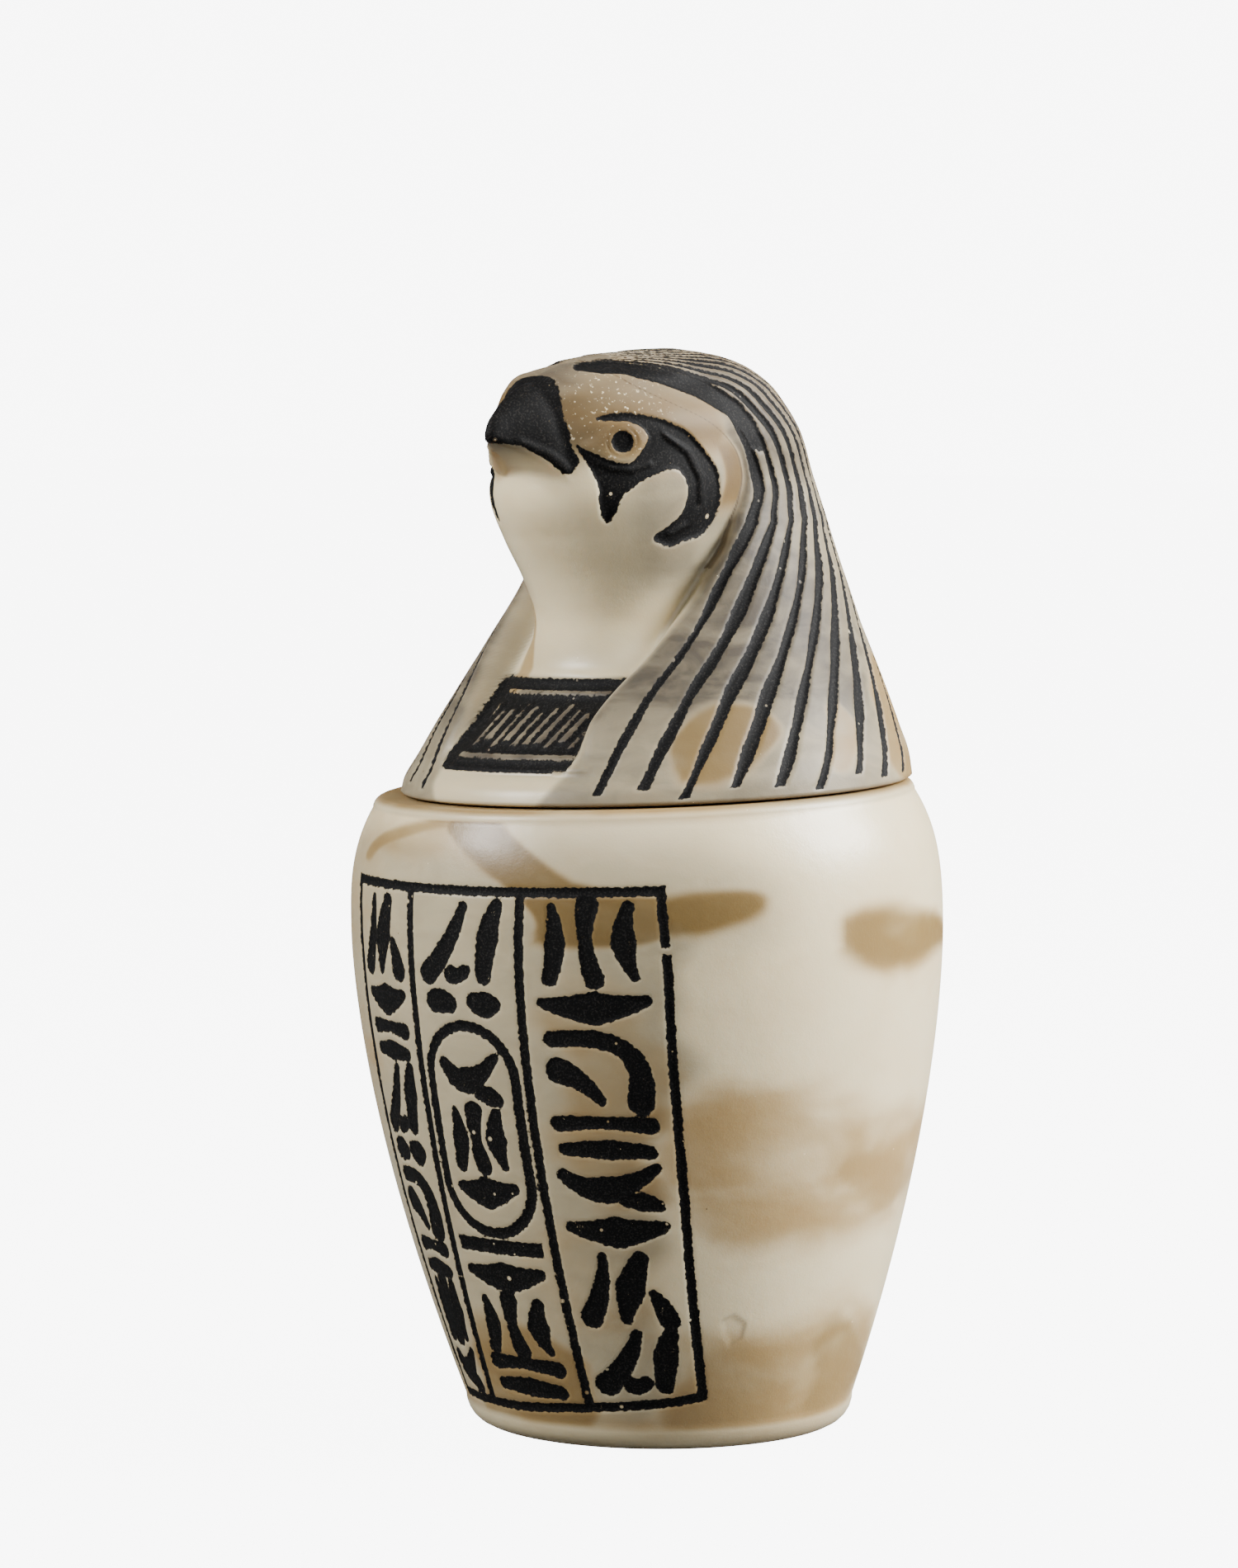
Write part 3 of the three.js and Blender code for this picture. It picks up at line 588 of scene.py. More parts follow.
seam = {
    "wigEdge": 1.6,
    "wigOnFace": 0.4,
    "chestTop": 7,
    "faceOnChest": 3,
    "beakEdges": 0.5,
    "beakTop": 1,
    "beakOnFace": 0.5,
}
# mm in a hundredth of the radius and of the height
share = lidMake["radius"] / 100
rise = lidMake["height"] / 100
spineBack = -12.3 * share
poleStart = 60
poleTilt = math.radians(38)


def reachAt(section, side, height):
    return np.sqrt(np.maximum(through(section["height"], np.square(section[side]), height), 1e-4))


def ovalDistance(x, y, side, along):
    return np.hypot(x, y) * (1 - 1 / (np.hypot(x / side, y / along) + 1e-9))


def steepness(section, side, height):
    change = reachAt(section, side, height + 0.5) - reachAt(section, side, height - 0.5)
    slope = change * share / rise
    return 1 / np.sqrt(1 + np.minimum(slope**2, 16))


def shell(section, x, forward, height):
    # signed distance to a form of oval sections
    ahead = forward - through(section["height"], section["centre"], height) * share
    side, front, back = [reachAt(section, name, height) * share for name in ("side", "front", "back")]
    skin = ovalDistance(x, ahead, side, np.where(ahead > 0, front, back))
    return skin * steepness(section, "side", height)


def angleAndLevel(x, forward, z):
    up = np.maximum(z - poleStart * rise, 0) / math.cos(poleTilt)
    ahead = forward - spineBack - up * math.sin(poleTilt)
    reach = np.hypot(x, ahead)
    angle = np.degrees(np.arctan2(np.abs(x), ahead))
    turn = np.arctan2(up, reach) / (math.pi / 2)
    return angle, np.where(up > 0, poleStart + turn * (100 - poleStart), z / rise), reach


def hairEdge(x, z, level):
    # the far front of the wig stands a little further out than the near one
    far = np.where(x < 0, wigEdge["farExtra"], 0.0) * eased(24, 14, z)
    return through(wigEdge["level"], wigEdge["angle"], level) + far


def lidForm(x, forward, z):
    # signed distance to the lid's skin
    height = z / rise
    hair = np.maximum(shell(wig, x, forward, height), z - lidMake["height"])
    angle, level, reach = angleAndLevel(x, forward, z)
    fromEdge = np.radians(hairEdge(x, z, level) - angle) * reach
    hair = smoothCut(hair, fromEdge * 0.8, seam["wigEdge"])

    head = np.maximum(shell(face, x, forward, height), z - face["height"][-1] * rise)

    chestAlong = np.where(forward > 0, reachAt(chest, "front", height), chest["side"][-1])
    bust = ovalDistance(x, forward, reachAt(chest, "side", height) * share, chestAlong * share)
    bust = bust * steepness(chest, "front", height)
    bust = smoothCut(bust, z - chest["top"] * rise, seam["chestTop"])
    block = np.maximum(np.abs(x) - collar["halfWidth"] * share,
                       band(height, collar["bottom"], collar["top"]) * rise)
    bust = np.minimum(bust, np.maximum(bust - collar["proud"] * share, block))

    ahead = np.clip(forward / share, beak["reach"][0], beak["reach"][-1])
    top = through(beak["reach"], beak["top"], ahead) * rise
    bottom = through(beak["reach"], beak["bottom"], ahead) * rise
    upBeak = np.clip((z - bottom) / (top - bottom), 0, 1)
    halfWidth = through(beak["reach"], beak["halfWidth"], ahead) * share * (1 - upBeak**2.2)**0.6
    sides = smoothCut((np.abs(x) - halfWidth) * 0.85, bottom - z, seam["beakEdges"])
    ends = smoothCut((z - top) * 0.8, forward - beak["reach"][-1] * share, seam["beakTop"])
    bill = smoothCut(sides, ends, seam["beakTop"])
    bill = np.where(forward > (beak["reach"][0] - beak["root"]) * share, bill, lidMake["radius"])

    front = smoothUnion(head, bust, seam["faceOnChest"])
    return smoothUnion(smoothUnion(front, hair, seam["wigOnFace"]), bill, seam["beakOnFace"])


def lidRays():
    turns = np.radians(np.arange(lidMake["columns"]) / lidMake["columns"] * 360)
    levels = np.linspace(0, 100, lidMake["rows"] + 1)[:-1]
    level, turn = np.meshgrid(levels, turns, indexing="ij")
    upturn = np.maximum(level - poleStart, 0) / (100 - poleStart) * math.pi / 2
    way = np.stack([
        np.cos(upturn) * np.sin(turn),
        np.cos(upturn) * np.cos(turn) + np.sin(upturn) * math.sin(poleTilt),
        np.sin(upturn) * math.cos(poleTilt)], -1)
    way /= np.linalg.norm(way, axis=-1, keepdims=True)
    start = np.stack([0 * level, 0 * level + spineBack, np.minimum(level, poleStart) * rise], -1)
    return start, way


def outermost(start, way):
    far = np.full(way.shape[:-1], lidMake["radius"] * 1.5)
    step = 1.0
    while step > 0.004:
        moving = np.ones(far.shape, bool)
        while moving.any():
            at = start[moving] + way[moving] * (far[moving] - step)[:, None]
            outside = (lidForm(at[:, 0], at[:, 1], at[:, 2]) > 0) & (far[moving] > step)
            far[moving] -= step * outside
            moving[moving] = outside
        step /= 4
    return start + way * far[..., None]


def formSlope(points):
    # the outward direction of the lid's skin
    e = 0.05
    x, forward, z = np.moveaxis(points, -1, 0)
    here = lidForm(x, forward, z)
    slope = np.stack([
        lidForm(x + e, forward, z) - here,
        lidForm(x, forward + e, z) - here,
        lidForm(x, forward, z + e) - here], -1)
    return here, slope / (np.linalg.norm(slope, axis=-1, keepdims=True) + 1e-9)


def evened(points, crown, rounds):
    # slides the points along the skin until they are evenly spaced
    for _ in range(rounds):
        above = np.concatenate([points[1:], np.broadcast_to(crown, points[:1].shape)])
        below = np.concatenate([points[:1], points[:-1]])
        around = np.roll(points, 1, 1) + np.roll(points, -1, 1)
        middle = (above + below + around) / 4
        middle[0] = around[0] / 2
        middle[0, :, 2] = points[0, :, 2]
        points = blend(points, middle, 0.6)
        here, slope = formSlope(points)
        points = points - slope * np.clip(here, -0.3, 0.3)[..., None]
        points[0, :, 2] = 0
    return points


stripes = {
    "perSide": 13,
    "level": [0, 15, 24, 31, 40, 48, 55, 60, 68, 73, 78, 84, 89, 95, 100],
    "firstAngle": [22.6, 28.5, 34, 41, 51, 60, 70, 78, 97, 104, 109, 112, 100, 82, 70],
    "spread": [1.45, 1.2, 1.08, 1, 0.88, 0.75, 0.68, 0.62, 0.6, 0.6, 0.6, 0.6, 0.6, 0.6, 0.6],
    # heights and half widths there, most of the room to the next stripe, levels where it fades out
    "first": ([0, 18, 28, 42], [0.42, 0.5, 0.72, 0.8], 0.5, (89, 84)),
    "others": ([3, 10, 25, 42], [0.6, 0.84, 0.72, 0.48], 0.3, (97, 93)),
    "foot": 1.5,
    "farPhase": 2.4,   # makes the far side's stripes waver in their own way
    # where the first stripe runs over the brow: mm behind the axis as the eye's side sees it, mm up
    "overBrow": [(-8.2, 53.4, 0.35), (-5, 53.3, 0.75), (-2.3, 53.1, 0.7), (2.5, 51.9, 0.95),
                 (7.2, 50.1, 1.1), (11.2, 47.4, 1.05), (13.2, 45.0, 0.9), (14.4, 42, 0.75)],
    "browFoot": 42,
    "browAngle": 130,
    "depth": 0.34,
}


def stripeInk(x, z, back, angle, level, reach):
    first = through(stripes["level"], stripes["firstAngle"], level)
    spread = through(stripes["level"], stripes["spread"], level)
    phase = np.where(x > 0, 0.0, stripes["farPhase"])
    middles = []
    for number in range(stripes["perSide"] + 1):
        t = number / stripes["perSide"]
        middles.append(first + (180 - first) * t / (t + (1 - t) * spread))
    ink = nowhere(angle)
    for number, middle in enumerate(middles):
        heights, halfWidths, mostRoom, fade = stripes["others" if number else "first"]
        neighbour = middles[number + 1] if number < stripes["perSide"] else middles[number - 1]
        room = np.radians(np.abs(neighbour - middle)) * reach
        pulse = (1 + 0.2 * np.sin(level * 0.13 + number * 1.9 + phase)
                 + 0.12 * np.sin(level * 0.47 + number + phase))
        half = np.minimum(np.interp(z, heights, halfWidths) * pulse, mostRoom * room)
        half = half * eased(*fade, level)
        foot = stripes["foot"] + 0.7 * math.sin(number * 2.3)
        distance = np.maximum(np.radians(np.abs(angle - middle)) * reach - half, foot - z)
        ink = np.minimum(ink, np.where(half > 0.02, distance, nowhere(angle)))
    onBrow = (z > stripes["browFoot"]) & (angle < stripes["browAngle"])
    overBrow = strokeDistance(back[onBrow], z[onBrow], stripes["overBrow"])
    ink[onBrow] = np.minimum(ink[onBrow], overBrow)
    return ink


# Eye, brow and cheek marking seen from the side the eye faces: mm behind the axis, mm up from
# the lid's edge
eye = {
    "turn": 40,
    "pupil": (-2.9, 44.0, 1.25),
    "almond": [(-8.2, 43.6), (-6.3, 44.9), (-3.1, 46.6), (-1.2, 45.9), (0.3, 44.0), (-0.9, 42.1),
               (-2.6, 41.3), (-5.2, 41.8)],
    "marking": [(-6.0, 47.0), (-3.0, 47.5), (0.9, 46.9), (3.2, 46.0), (5.1, 44.9), (6.6, 43.2),
                (8.8, 39.8), (8.9, 35.8), (7.1, 32.3), (4.3, 31.3), (2.5, 30.8), (0.7, 31.9),
                (2.8, 33.4), (4.4, 34.9),
                (5.2, 38.0), (3.8, 40.4), (0.7, 39.8), (-2.8, 37.6), (-4.6, 34.4), (-5.7, 35.0),
                (-6.1, 39.3), (-8.2, 43.1), (-8.3, 43.6), (-6.0, 42.4), (-4.0, 41.5), (-1.6, 41.4),
                (0.4, 44.1), (-0.2, 45.6), (-1.9, 46.5), (-3.5, 46.7)],
    "depth": 0.35,
    "grooveRadius": 1.8,
    "grooveDepth": 0.14,
    "lidsProud": 0.3,
    "lowerLid": [(-8.0, 43.2, 0.1), (-6.2, 41.8, 0.2), (-4, 40.8, 0.22), (-1.6, 40.5, 0.2),
                 (0.6, 41.2, 0.1)],
    "crescent": [(2.5, 44.6, 0.1), (5.4, 42.4, 0.3), (7.0, 39, 0.35), (6.9, 35.6, 0.3),
                 (5.2, 33.4, 0.25), (2.6, 32.2, 0.1)],
    "farShift": 2.2,   # the far eye is cut this much nearer the beak
}
beakPaint = {
    "lip": [(-15.6, 44.6, 0.2), (-13.6, 43.6, 0.35), (-12, 42.8, 0.4), (-10.6, 41.7, 0.45),
            (-9.9, 41, 0.4)],
    "height": [36, 40.5, 41.8, 43.6, 45.6, 47.5, 49.4, 50.8, 51.9, 52.4, 55],
    "back": [22, 21.8, 21.3, 21.6, 21.8, 21.8, 21.6, 21.3, 20.7, 20.4, 20.2],
    "reach": [20, 21.7, 22.7, 24.3, 26.7, 29.3, 31],
    "bottom": [40, 40.3, 40.4, 42.2, 44, 44.6, 44.8],
}
collarPaint = {
    "halfWidth": 12.6,   # at the bottom, less towards the top
    "narrowing": 0.1,
    "bottom": 4.1,
    "top": 14.6,
    "upperBand": (12.7, 13.4),
    "lowerBand": (5.4, 6.2),
    "barsBottom": 7.1,
    "barsTop": 11.4,
    "barPitch": 1.75,
    "barHalf": 0.52,
    "barSlant": 0.33,
    "rim": 9.4,          # half width of the lower band; the rest is 1 mm less
    "seam": 0.3,
    "relief": 0.35,
}


def sideView(x, forward):
    # mm behind the axis, as the eye's side sees it
    turn = math.radians(eye["turn"])
    return np.abs(x) * math.cos(turn) - forward * math.sin(turn)


def collarPale(x, z):
    # pale raised bands and bars in the black collar, negative inside
    make = collarPaint
    rim, bottom, pitch = make["rim"], make["barsBottom"], make["barPitch"]
    lower = np.maximum(band(z, *make["lowerBand"]), np.abs(x) - rim)
    upper = np.maximum(band(z, *make["upperBand"]), np.abs(x) - rim + 1)
    slanted = x - make["barSlant"] * (z - bottom)
    number = np.floor(slanted / pitch)
    uneven = np.sin(number * 2.7)
    half = make["barHalf"] * (1 + 0.25 * uneven) * (1.1 - 0.1 * (z - bottom))
    fromBar = np.abs(slanted / pitch - number - 0.5 + 0.06 * uneven) * pitch - half
    ends = band(z, bottom + 0.4 * uneven, make["barsTop"] + 0.5 * np.sin(number * 1.7))
    bars = np.maximum.reduce([fromBar, ends, np.abs(x) - rim + 1])
    return np.minimum.reduce([lower, upper, bars])


# Clouds on the lid, in the jar's order, with heights from the lid's edge
lidClouds = [
    (0.8, 0.9, 3.0, [(8, 50), (40, 51.5), (72, 48), (78, 42), (50, 40), (14, 43)]),
    (0.95, 0.9, 1.2, [(44, 10), (62, 11), (70, 7), (64, 2.5), (46, 3)]),
    (0.7, 0.5, 1.0, [(84, 9), (92, 10), (94, 4), (86, 2)]),
    (0.9, 0.6, 1.5, [(108, 12), (132, 16), (138, 2), (112, 0)]),
    (0.3, 0.3, 4.0, [(-10, 38), (12, 38), (14, 30), (-8, 30)]),
    (0.8, 0.6, 1.5, [(-34, 28), (-24, 22), (-19, 14), (-26, 10), (-40, 20)]),
    (0.6, 0.4, 3.0, [(176, 38), (226, 40), (230, 22), (180, 20)]),
    (0.7, 0.5, 2.0, [(240, 18), (285, 20), (290, 4), (245, 2)]),
    (0.6, 0.5, 2.5, [(270, 50), (310, 50), (315, 38), (275, 36)]),
]


# Tones of the lid: a strength, and spans over which it fades in, each of a measure, from and to.
# seam is mm past the edge of the wig, back and up are mm, turn is degrees, collar is mm past it.
lidTones = {
    # behind the eye: tan, and painted shade under the wig's overhanging edge
    "behindEyeTanAndShade": (1, [("seam", -4.4, -2.6), ("seam", 1, -0.6), ("up", 32, 38), ("up", 46, 41)]),
    "brow": (1, [("up", 41, 45)]),
    "cheek": (0.75, [("back", -6, 1), ("up", 22, 28)]),
    "chest": (0.3, [("up", 22, 16)]),
    "wig": (1, [("seam", -1.5, 1)]),
    "clearBack": (0.15, [("turn", 85, 120), ("up", 45, 35)]),
    "clearFoot": (0.2, [("up", 14, 5)]),
    # the collar painted greyer: dirt, and painted shade of its cut relief
    "collar": (1, [("collar", 0.6, 0)]),
    # painted glints: small bright spots around the eye's front
    "paintedGlintSpots": (1, [("paintedGlintSpots", 1.3, 0.5)]),
    "browSoil": (0.15, [("up", 40, 46)]),
}
lidZones = {
    "eye": (2, 2, 28),       # ahead of the axis, aside and up: past these lie the eye's marks
    "collarAhead": 8,
    "crackLevel": 50,
    "paintedGlintSpots": (-5, 47),    # middle of their oval, mm behind the axis and up
    "paintedGlintSpotsReach": (8, 7),
    "paintedGlintSpotsAhead": 4,
    "paintedGlintSpotsGold": 0.75,
    "soilAndShade": (0.45, 0.2),     # painted shade behind the eye, under the wig's edge, and soil among the painted glints
}


def lidPaint(points):
    x, forward, z = np.moveaxis(points, -1, 0)
    angle, level, reach = angleAndLevel(x, forward, z)
    side = sideView(x, forward)
    back = side + np.where(x < 0, eye["farShift"], 0.0)
    stripe = stripeInk(x, z, side, angle, level, reach)
    ahead, aside, up = lidZones["eye"]
    nearEye = (forward > ahead) & (np.abs(x) > aside) & (z > up)
    eyeBack, eyeUp = back[nearEye], z[nearEye]
    marking, almond, pupil, groove, ridge = [nowhere(x) for _ in range(5)]
    marking[nearEye] = outlineDistance(eyeBack, eyeUp, roundedOutline(eye["marking"]))
    almond[nearEye] = outlineDistance(eyeBack, eyeUp, roundedOutline(eye["almond"]))
    pupilBack, pupilUp, pupilRadius = eye["pupil"]
    fromPupil = np.hypot(eyeBack - pupilBack, eyeUp - pupilUp)
    pupil[nearEye] = fromPupil - pupilRadius
    groove[nearEye] = np.abs(fromPupil - eye["grooveRadius"])
    for route in (eye["lowerLid"], eye["crescent"], beakPaint["lip"]):
        ridge[nearEye] = np.minimum(ridge[nearEye], strokeDistance(eyeBack, eyeUp, route))
    beakBack = through(beakPaint["height"], beakPaint["back"], z)
    beakBottom = np.interp(forward, beakPaint["reach"], beakPaint["bottom"])
    bill = np.maximum(beakBack - forward, beakBottom - z)
    low, high = collarPaint["bottom"], collarPaint["top"]
    sideways = np.abs(x) - collarPaint["halfWidth"] + collarPaint["narrowing"] * (z - low)
    onCollar = np.maximum(sideways, band(z, low, high))
    onCollar = np.where(forward > lidZones["collarAhead"], onCollar, nowhere(x))
    fromSeam = np.radians(angle - hairEdge(x, z, level)) * reach
    onCollar = np.maximum(onCollar, fromSeam + collarPaint["seam"])
    collarInk = np.maximum(onCollar, -collarPale(x, z))
    ink = np.minimum.reduce([stripe, marking, pupil, bill, collarInk])
    depth = (
        stripes["depth"] * eased(0.25, -0.25, stripe)
        + eye["depth"] * eased(0.25, -0.25, np.minimum(marking, pupil))
        + eye["grooveDepth"] * eased(0.3, 0.0, groove)
        - eye["lidsProud"] * eased(0.35, -0.1, ridge)
        - eye["lidsProud"] * eased(0.5, -1.2, almond)
        + collarPaint["relief"] * eased(0.2, -0.2, collarInk))

    (middle, middleUp), (reachBack, reachUp) = lidZones["paintedGlintSpots"], lidZones["paintedGlintSpotsReach"]
    measures = {
        "seam": fromSeam, "back": back, "up": z, "turn": angle, "collar": onCollar,
        "paintedGlintSpots": np.hypot((back - middle) / reachBack, (z - middleUp) / reachUp)}
    tone = {name: strength * math.prod(eased(low, high, measures[of]) for of, low, high in spans)
            for name, (strength, spans) in lidTones.items()}
    # painted glints near the eye's front
    paintedGlint = tone["paintedGlintSpots"] * (forward > lidZones["paintedGlintSpotsAhead"])
    onWig = tone["wig"] * (1 - tone["clearBack"] - tone["clearFoot"])
    underWigShade, paintedGlintSpotsSoil = lidZones["soilAndShade"]
    return ink, depth, {
        "smoke": np.maximum.reduce([tone["brow"], tone["cheek"], tone["chest"], onWig, tone["collar"]]),
        "crack": np.where(level > lidZones["crackLevel"], np.abs(fromSeam), nowhere(x)),
        "paintedGlint": paintedGlint,
        "gold": np.maximum(tone["behindEyeTanAndShade"], lidZones["paintedGlintSpotsGold"] * paintedGlint),
        "soilAndShade": underWigShade * tone["behindEyeTanAndShade"] + tone["browSoil"] + paintedGlintSpotsSoil * paintedGlint,
    }


def lidSeat():
    up = (Vector((0, 0, 1)) + lean * seatSlope).normalized()
    turn = Vector((0, 0, 1)).rotation_difference(up)
    place = lean * (leanSlope * jarMake["height"] - lidMake["shift"])
    place.z = jarMake["height"] + lidMake["shift"] * seatSlope
    return np.array(turn.to_matrix()), np.array(place + up * lidMake["gap"])


def makeLid():
    start, way = lidRays()
    crown = outermost(np.array([[0, spineBack, poleStart * rise]]),
                      np.array([[0, math.sin(poleTilt), math.cos(poleTilt)]]))[0]
    points = evened(outermost(start, way), crown, lidMake["evenings"])
    slope = formSlope(points)[1]
    ink, depth, tones = lidPaint(points)
    depth[0] = 0
    degrees = np.degrees(np.arctan2(points[..., 0], points[..., 1])) % 360
    cloud, gold = cloudLayers(degrees, points[..., 2], lidClouds)
    skin = points - slope * depth[..., None]
    inset = lidMake["edgeInset"]
    skin[0, :, :2] *= 1 - inset / lidMake["radius"]
    skin[0, :, 2] = 0
    edge = skin[0, :, :2] / np.linalg.norm(skin[0, :, :2], axis=-1, keepdims=True)
    plugRadius = jarMake["mouthRadius"] - lidMake["plugClearance"]
    chamfer, length = lidMake["plugChamfer"], lidMake["plugLength"]
    inner, middle, outer = lidMake["undersideRings"]
    underneath = [(inner, -length), (middle, -length), (plugRadius - chamfer, -length),
                  (plugRadius, chamfer - length)]
    underneath += [(plugRadius, height) for height in lidMake["plugRings"]]
    underneath += [(plugRadius + inset, 0), (outer, 0)]
    rings = [np.concatenate([edge * r, np.full((len(edge), 1), h)], -1) for r, h in underneath]
    rows = np.concatenate([np.array(rings), skin])

    def padded(numbers, value):
        return np.concatenate([np.full((len(underneath), rows.shape[1]), value), numbers])

    values = {
        "ink": padded(ink, 99.0),
        "cloud": padded(np.maximum(cloud, tones["gold"]), 0.2),
        "gold": padded(np.maximum(gold, tones["gold"]), 0.1),
        "smoke": padded(tones["smoke"], 0.3),
        "crack": padded(tones["crack"], 99.0),
        "paintedGlint": padded(tones["paintedGlint"], 0.0),
        # painted shade on the lid's lower edge by the gap and on its underside, added to the tones'
        # soil and painted shade
        "grimeAndShade": padded(0.4 * eased(0.8, 0.1, points[..., 2]) + tones["soilAndShade"], 0.4),
    }
    rows = rows * np.array([1, -1, 1])
    turn, place = lidSeat()
    place = place[None, None, :]
    bottom, top = np.array([0, 0, -length]), crown * np.array([1, -1, 1])
    piece = gridPiece("falconLid", rows @ turn.T + place, turn @ bottom + place[0, 0],
                      turn @ top + place[0, 0], values)
    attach(piece, "root")
    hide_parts("falcon_lid")
    print("lid made,", len(piece.data.polygons), "faces")
    return piece


jarPiece = makeJar()
lidPiece = makeLid()


# Materials

def hexColour(code):
    parts = [int(code[i:i + 2], 16) / 255 for i in (1, 3, 5)]
    return tuple(p / 12.92 if p <= 0.04045 else ((p + 0.055) / 1.055)**2.4 for p in parts) + (1.0,)


def addNode(tree, kind, inputs=(), output=0, **settings):
    # adds a node, links or sets its inputs, by name or in order, and hands back one of its outputs
    made = tree.nodes.new("ShaderNode" + kind)
    for name, value in settings.items():
        setattr(made, name, value)
    for socket, value in inputs.items() if isinstance(inputs, dict) else enumerate(inputs):
        if isinstance(value, bpy.types.NodeSocket):
            tree.links.new(value, made.inputs[socket])
        else:
            made.inputs[socket].default_value = value
    return made.outputs[output] if len(made.outputs) else None


def perMm(size):
    return 1000 / size   # a pattern's scale from its real size in mm


castResin = {
    "colours": {
        "cream": "#E5D6B0",
        "milk": "#D6C59C",
        "smoke": "#49433A",
        "tan": "#B59766",
        "honey": "#786030",
        "soilAndShade": "#5C4830",
        "grimeAndShade": "#4A3B28",
        # painted highlight: the colour of the painted glints and the pale specks
        "paintedHighlight": "#F3E2BC",
        "paint": "#070707",
        "paintDust": "#2A2826",
    },
    "roughness": (0.25, 0.4),
    "smokeRoughness": 0.16,   # added where it is smoky
    "paintRoughness": 0.66,
    "gloss": 0.5,
    "smokeGloss": 0.12,
    "paintGloss": 0.09,
    "ior": 1.52,
    "scatter": 0.45,
    "scatterReach": 0.004,   # m
    "scatterRadius": (1.0, 0.75, 0.5),
    # dots: spacing and largest radius in mm, share of the cells without one
    # the pale specks are painted glints, small highlights on pits
    "paintedGlintSpecks": (2.2, 0.13, 0.5),
    "dirtSpecks": (5.3, 0.2, 0.7),
    "bubbles": (2.2, 0.38, 0.25),
    # noises: squeeze across, squeeze up, size in mm, detail, roughness, distortion
    "noises": {
        "drift": (1, 1, 22, 3, 0.5, 1.2),
        "wisps": (1, 2.2, 15, 2, 0.5, 0.4),
        "veins": (1, 2.2, 7, 4, 0.5, 0.8),
        "paintedGlintSpots": (1, 1, 0.45, 3, 0.5, 0),
        "ragged": (1, 1, 0.65, 3, 0.5, 0),
        "wear": (1.6, 1, 1.3, 6, 0.75, 0),
        "grain": (1, 1, 0.25, 2, 0.5, 0),
        "skin": (1, 1, 1.6, 4, 0.5, 0),
    },
    # how a noise or pattern turns into a share: from low, from high, to low, to high
    "spans": {
        "wispy": (0.3, 0.7, -0.24, 0.24),
        "cloudShare": (0, 0.95),
        "smokeWisps": (0.35, 0.62, 0.88, 1),
        "overClouds": (0, 1, 1, 0.5),
        "crackLine": (0.08, 0.26, 0.75, 0),
        "bright": (0.62, 0.72, 0, 0.7),
        "inked": (0.48, 0.38),
        "unworn": (0.72, 0.66, 0.25, 1),
        "dusty": (0.5, 0.8),
    },
    "raggedReach": 0.62,
    "bumps": {"skin": (0.12, 0.0003), "grain": (0.15, 0.0001)},   # strength, height in m
}


def dots(node, place, spacing, radius, missing):
    # round dots up to a radius in mm, one to each cell of the spacing save for the missing share
    cells = {"Vector": place, "Scale": perMm(spacing)}
    colour, distance = [node("TexVoronoi", cells, name) for name in ("Color", "Distance")]
    size = node("MapRange", (colour, missing, 1, 0, radius / spacing))
    inside = node("Math", (size, distance), operation="SUBTRACT")
    return node("MapRange", (inside, 0, 0.1 * radius / spacing))


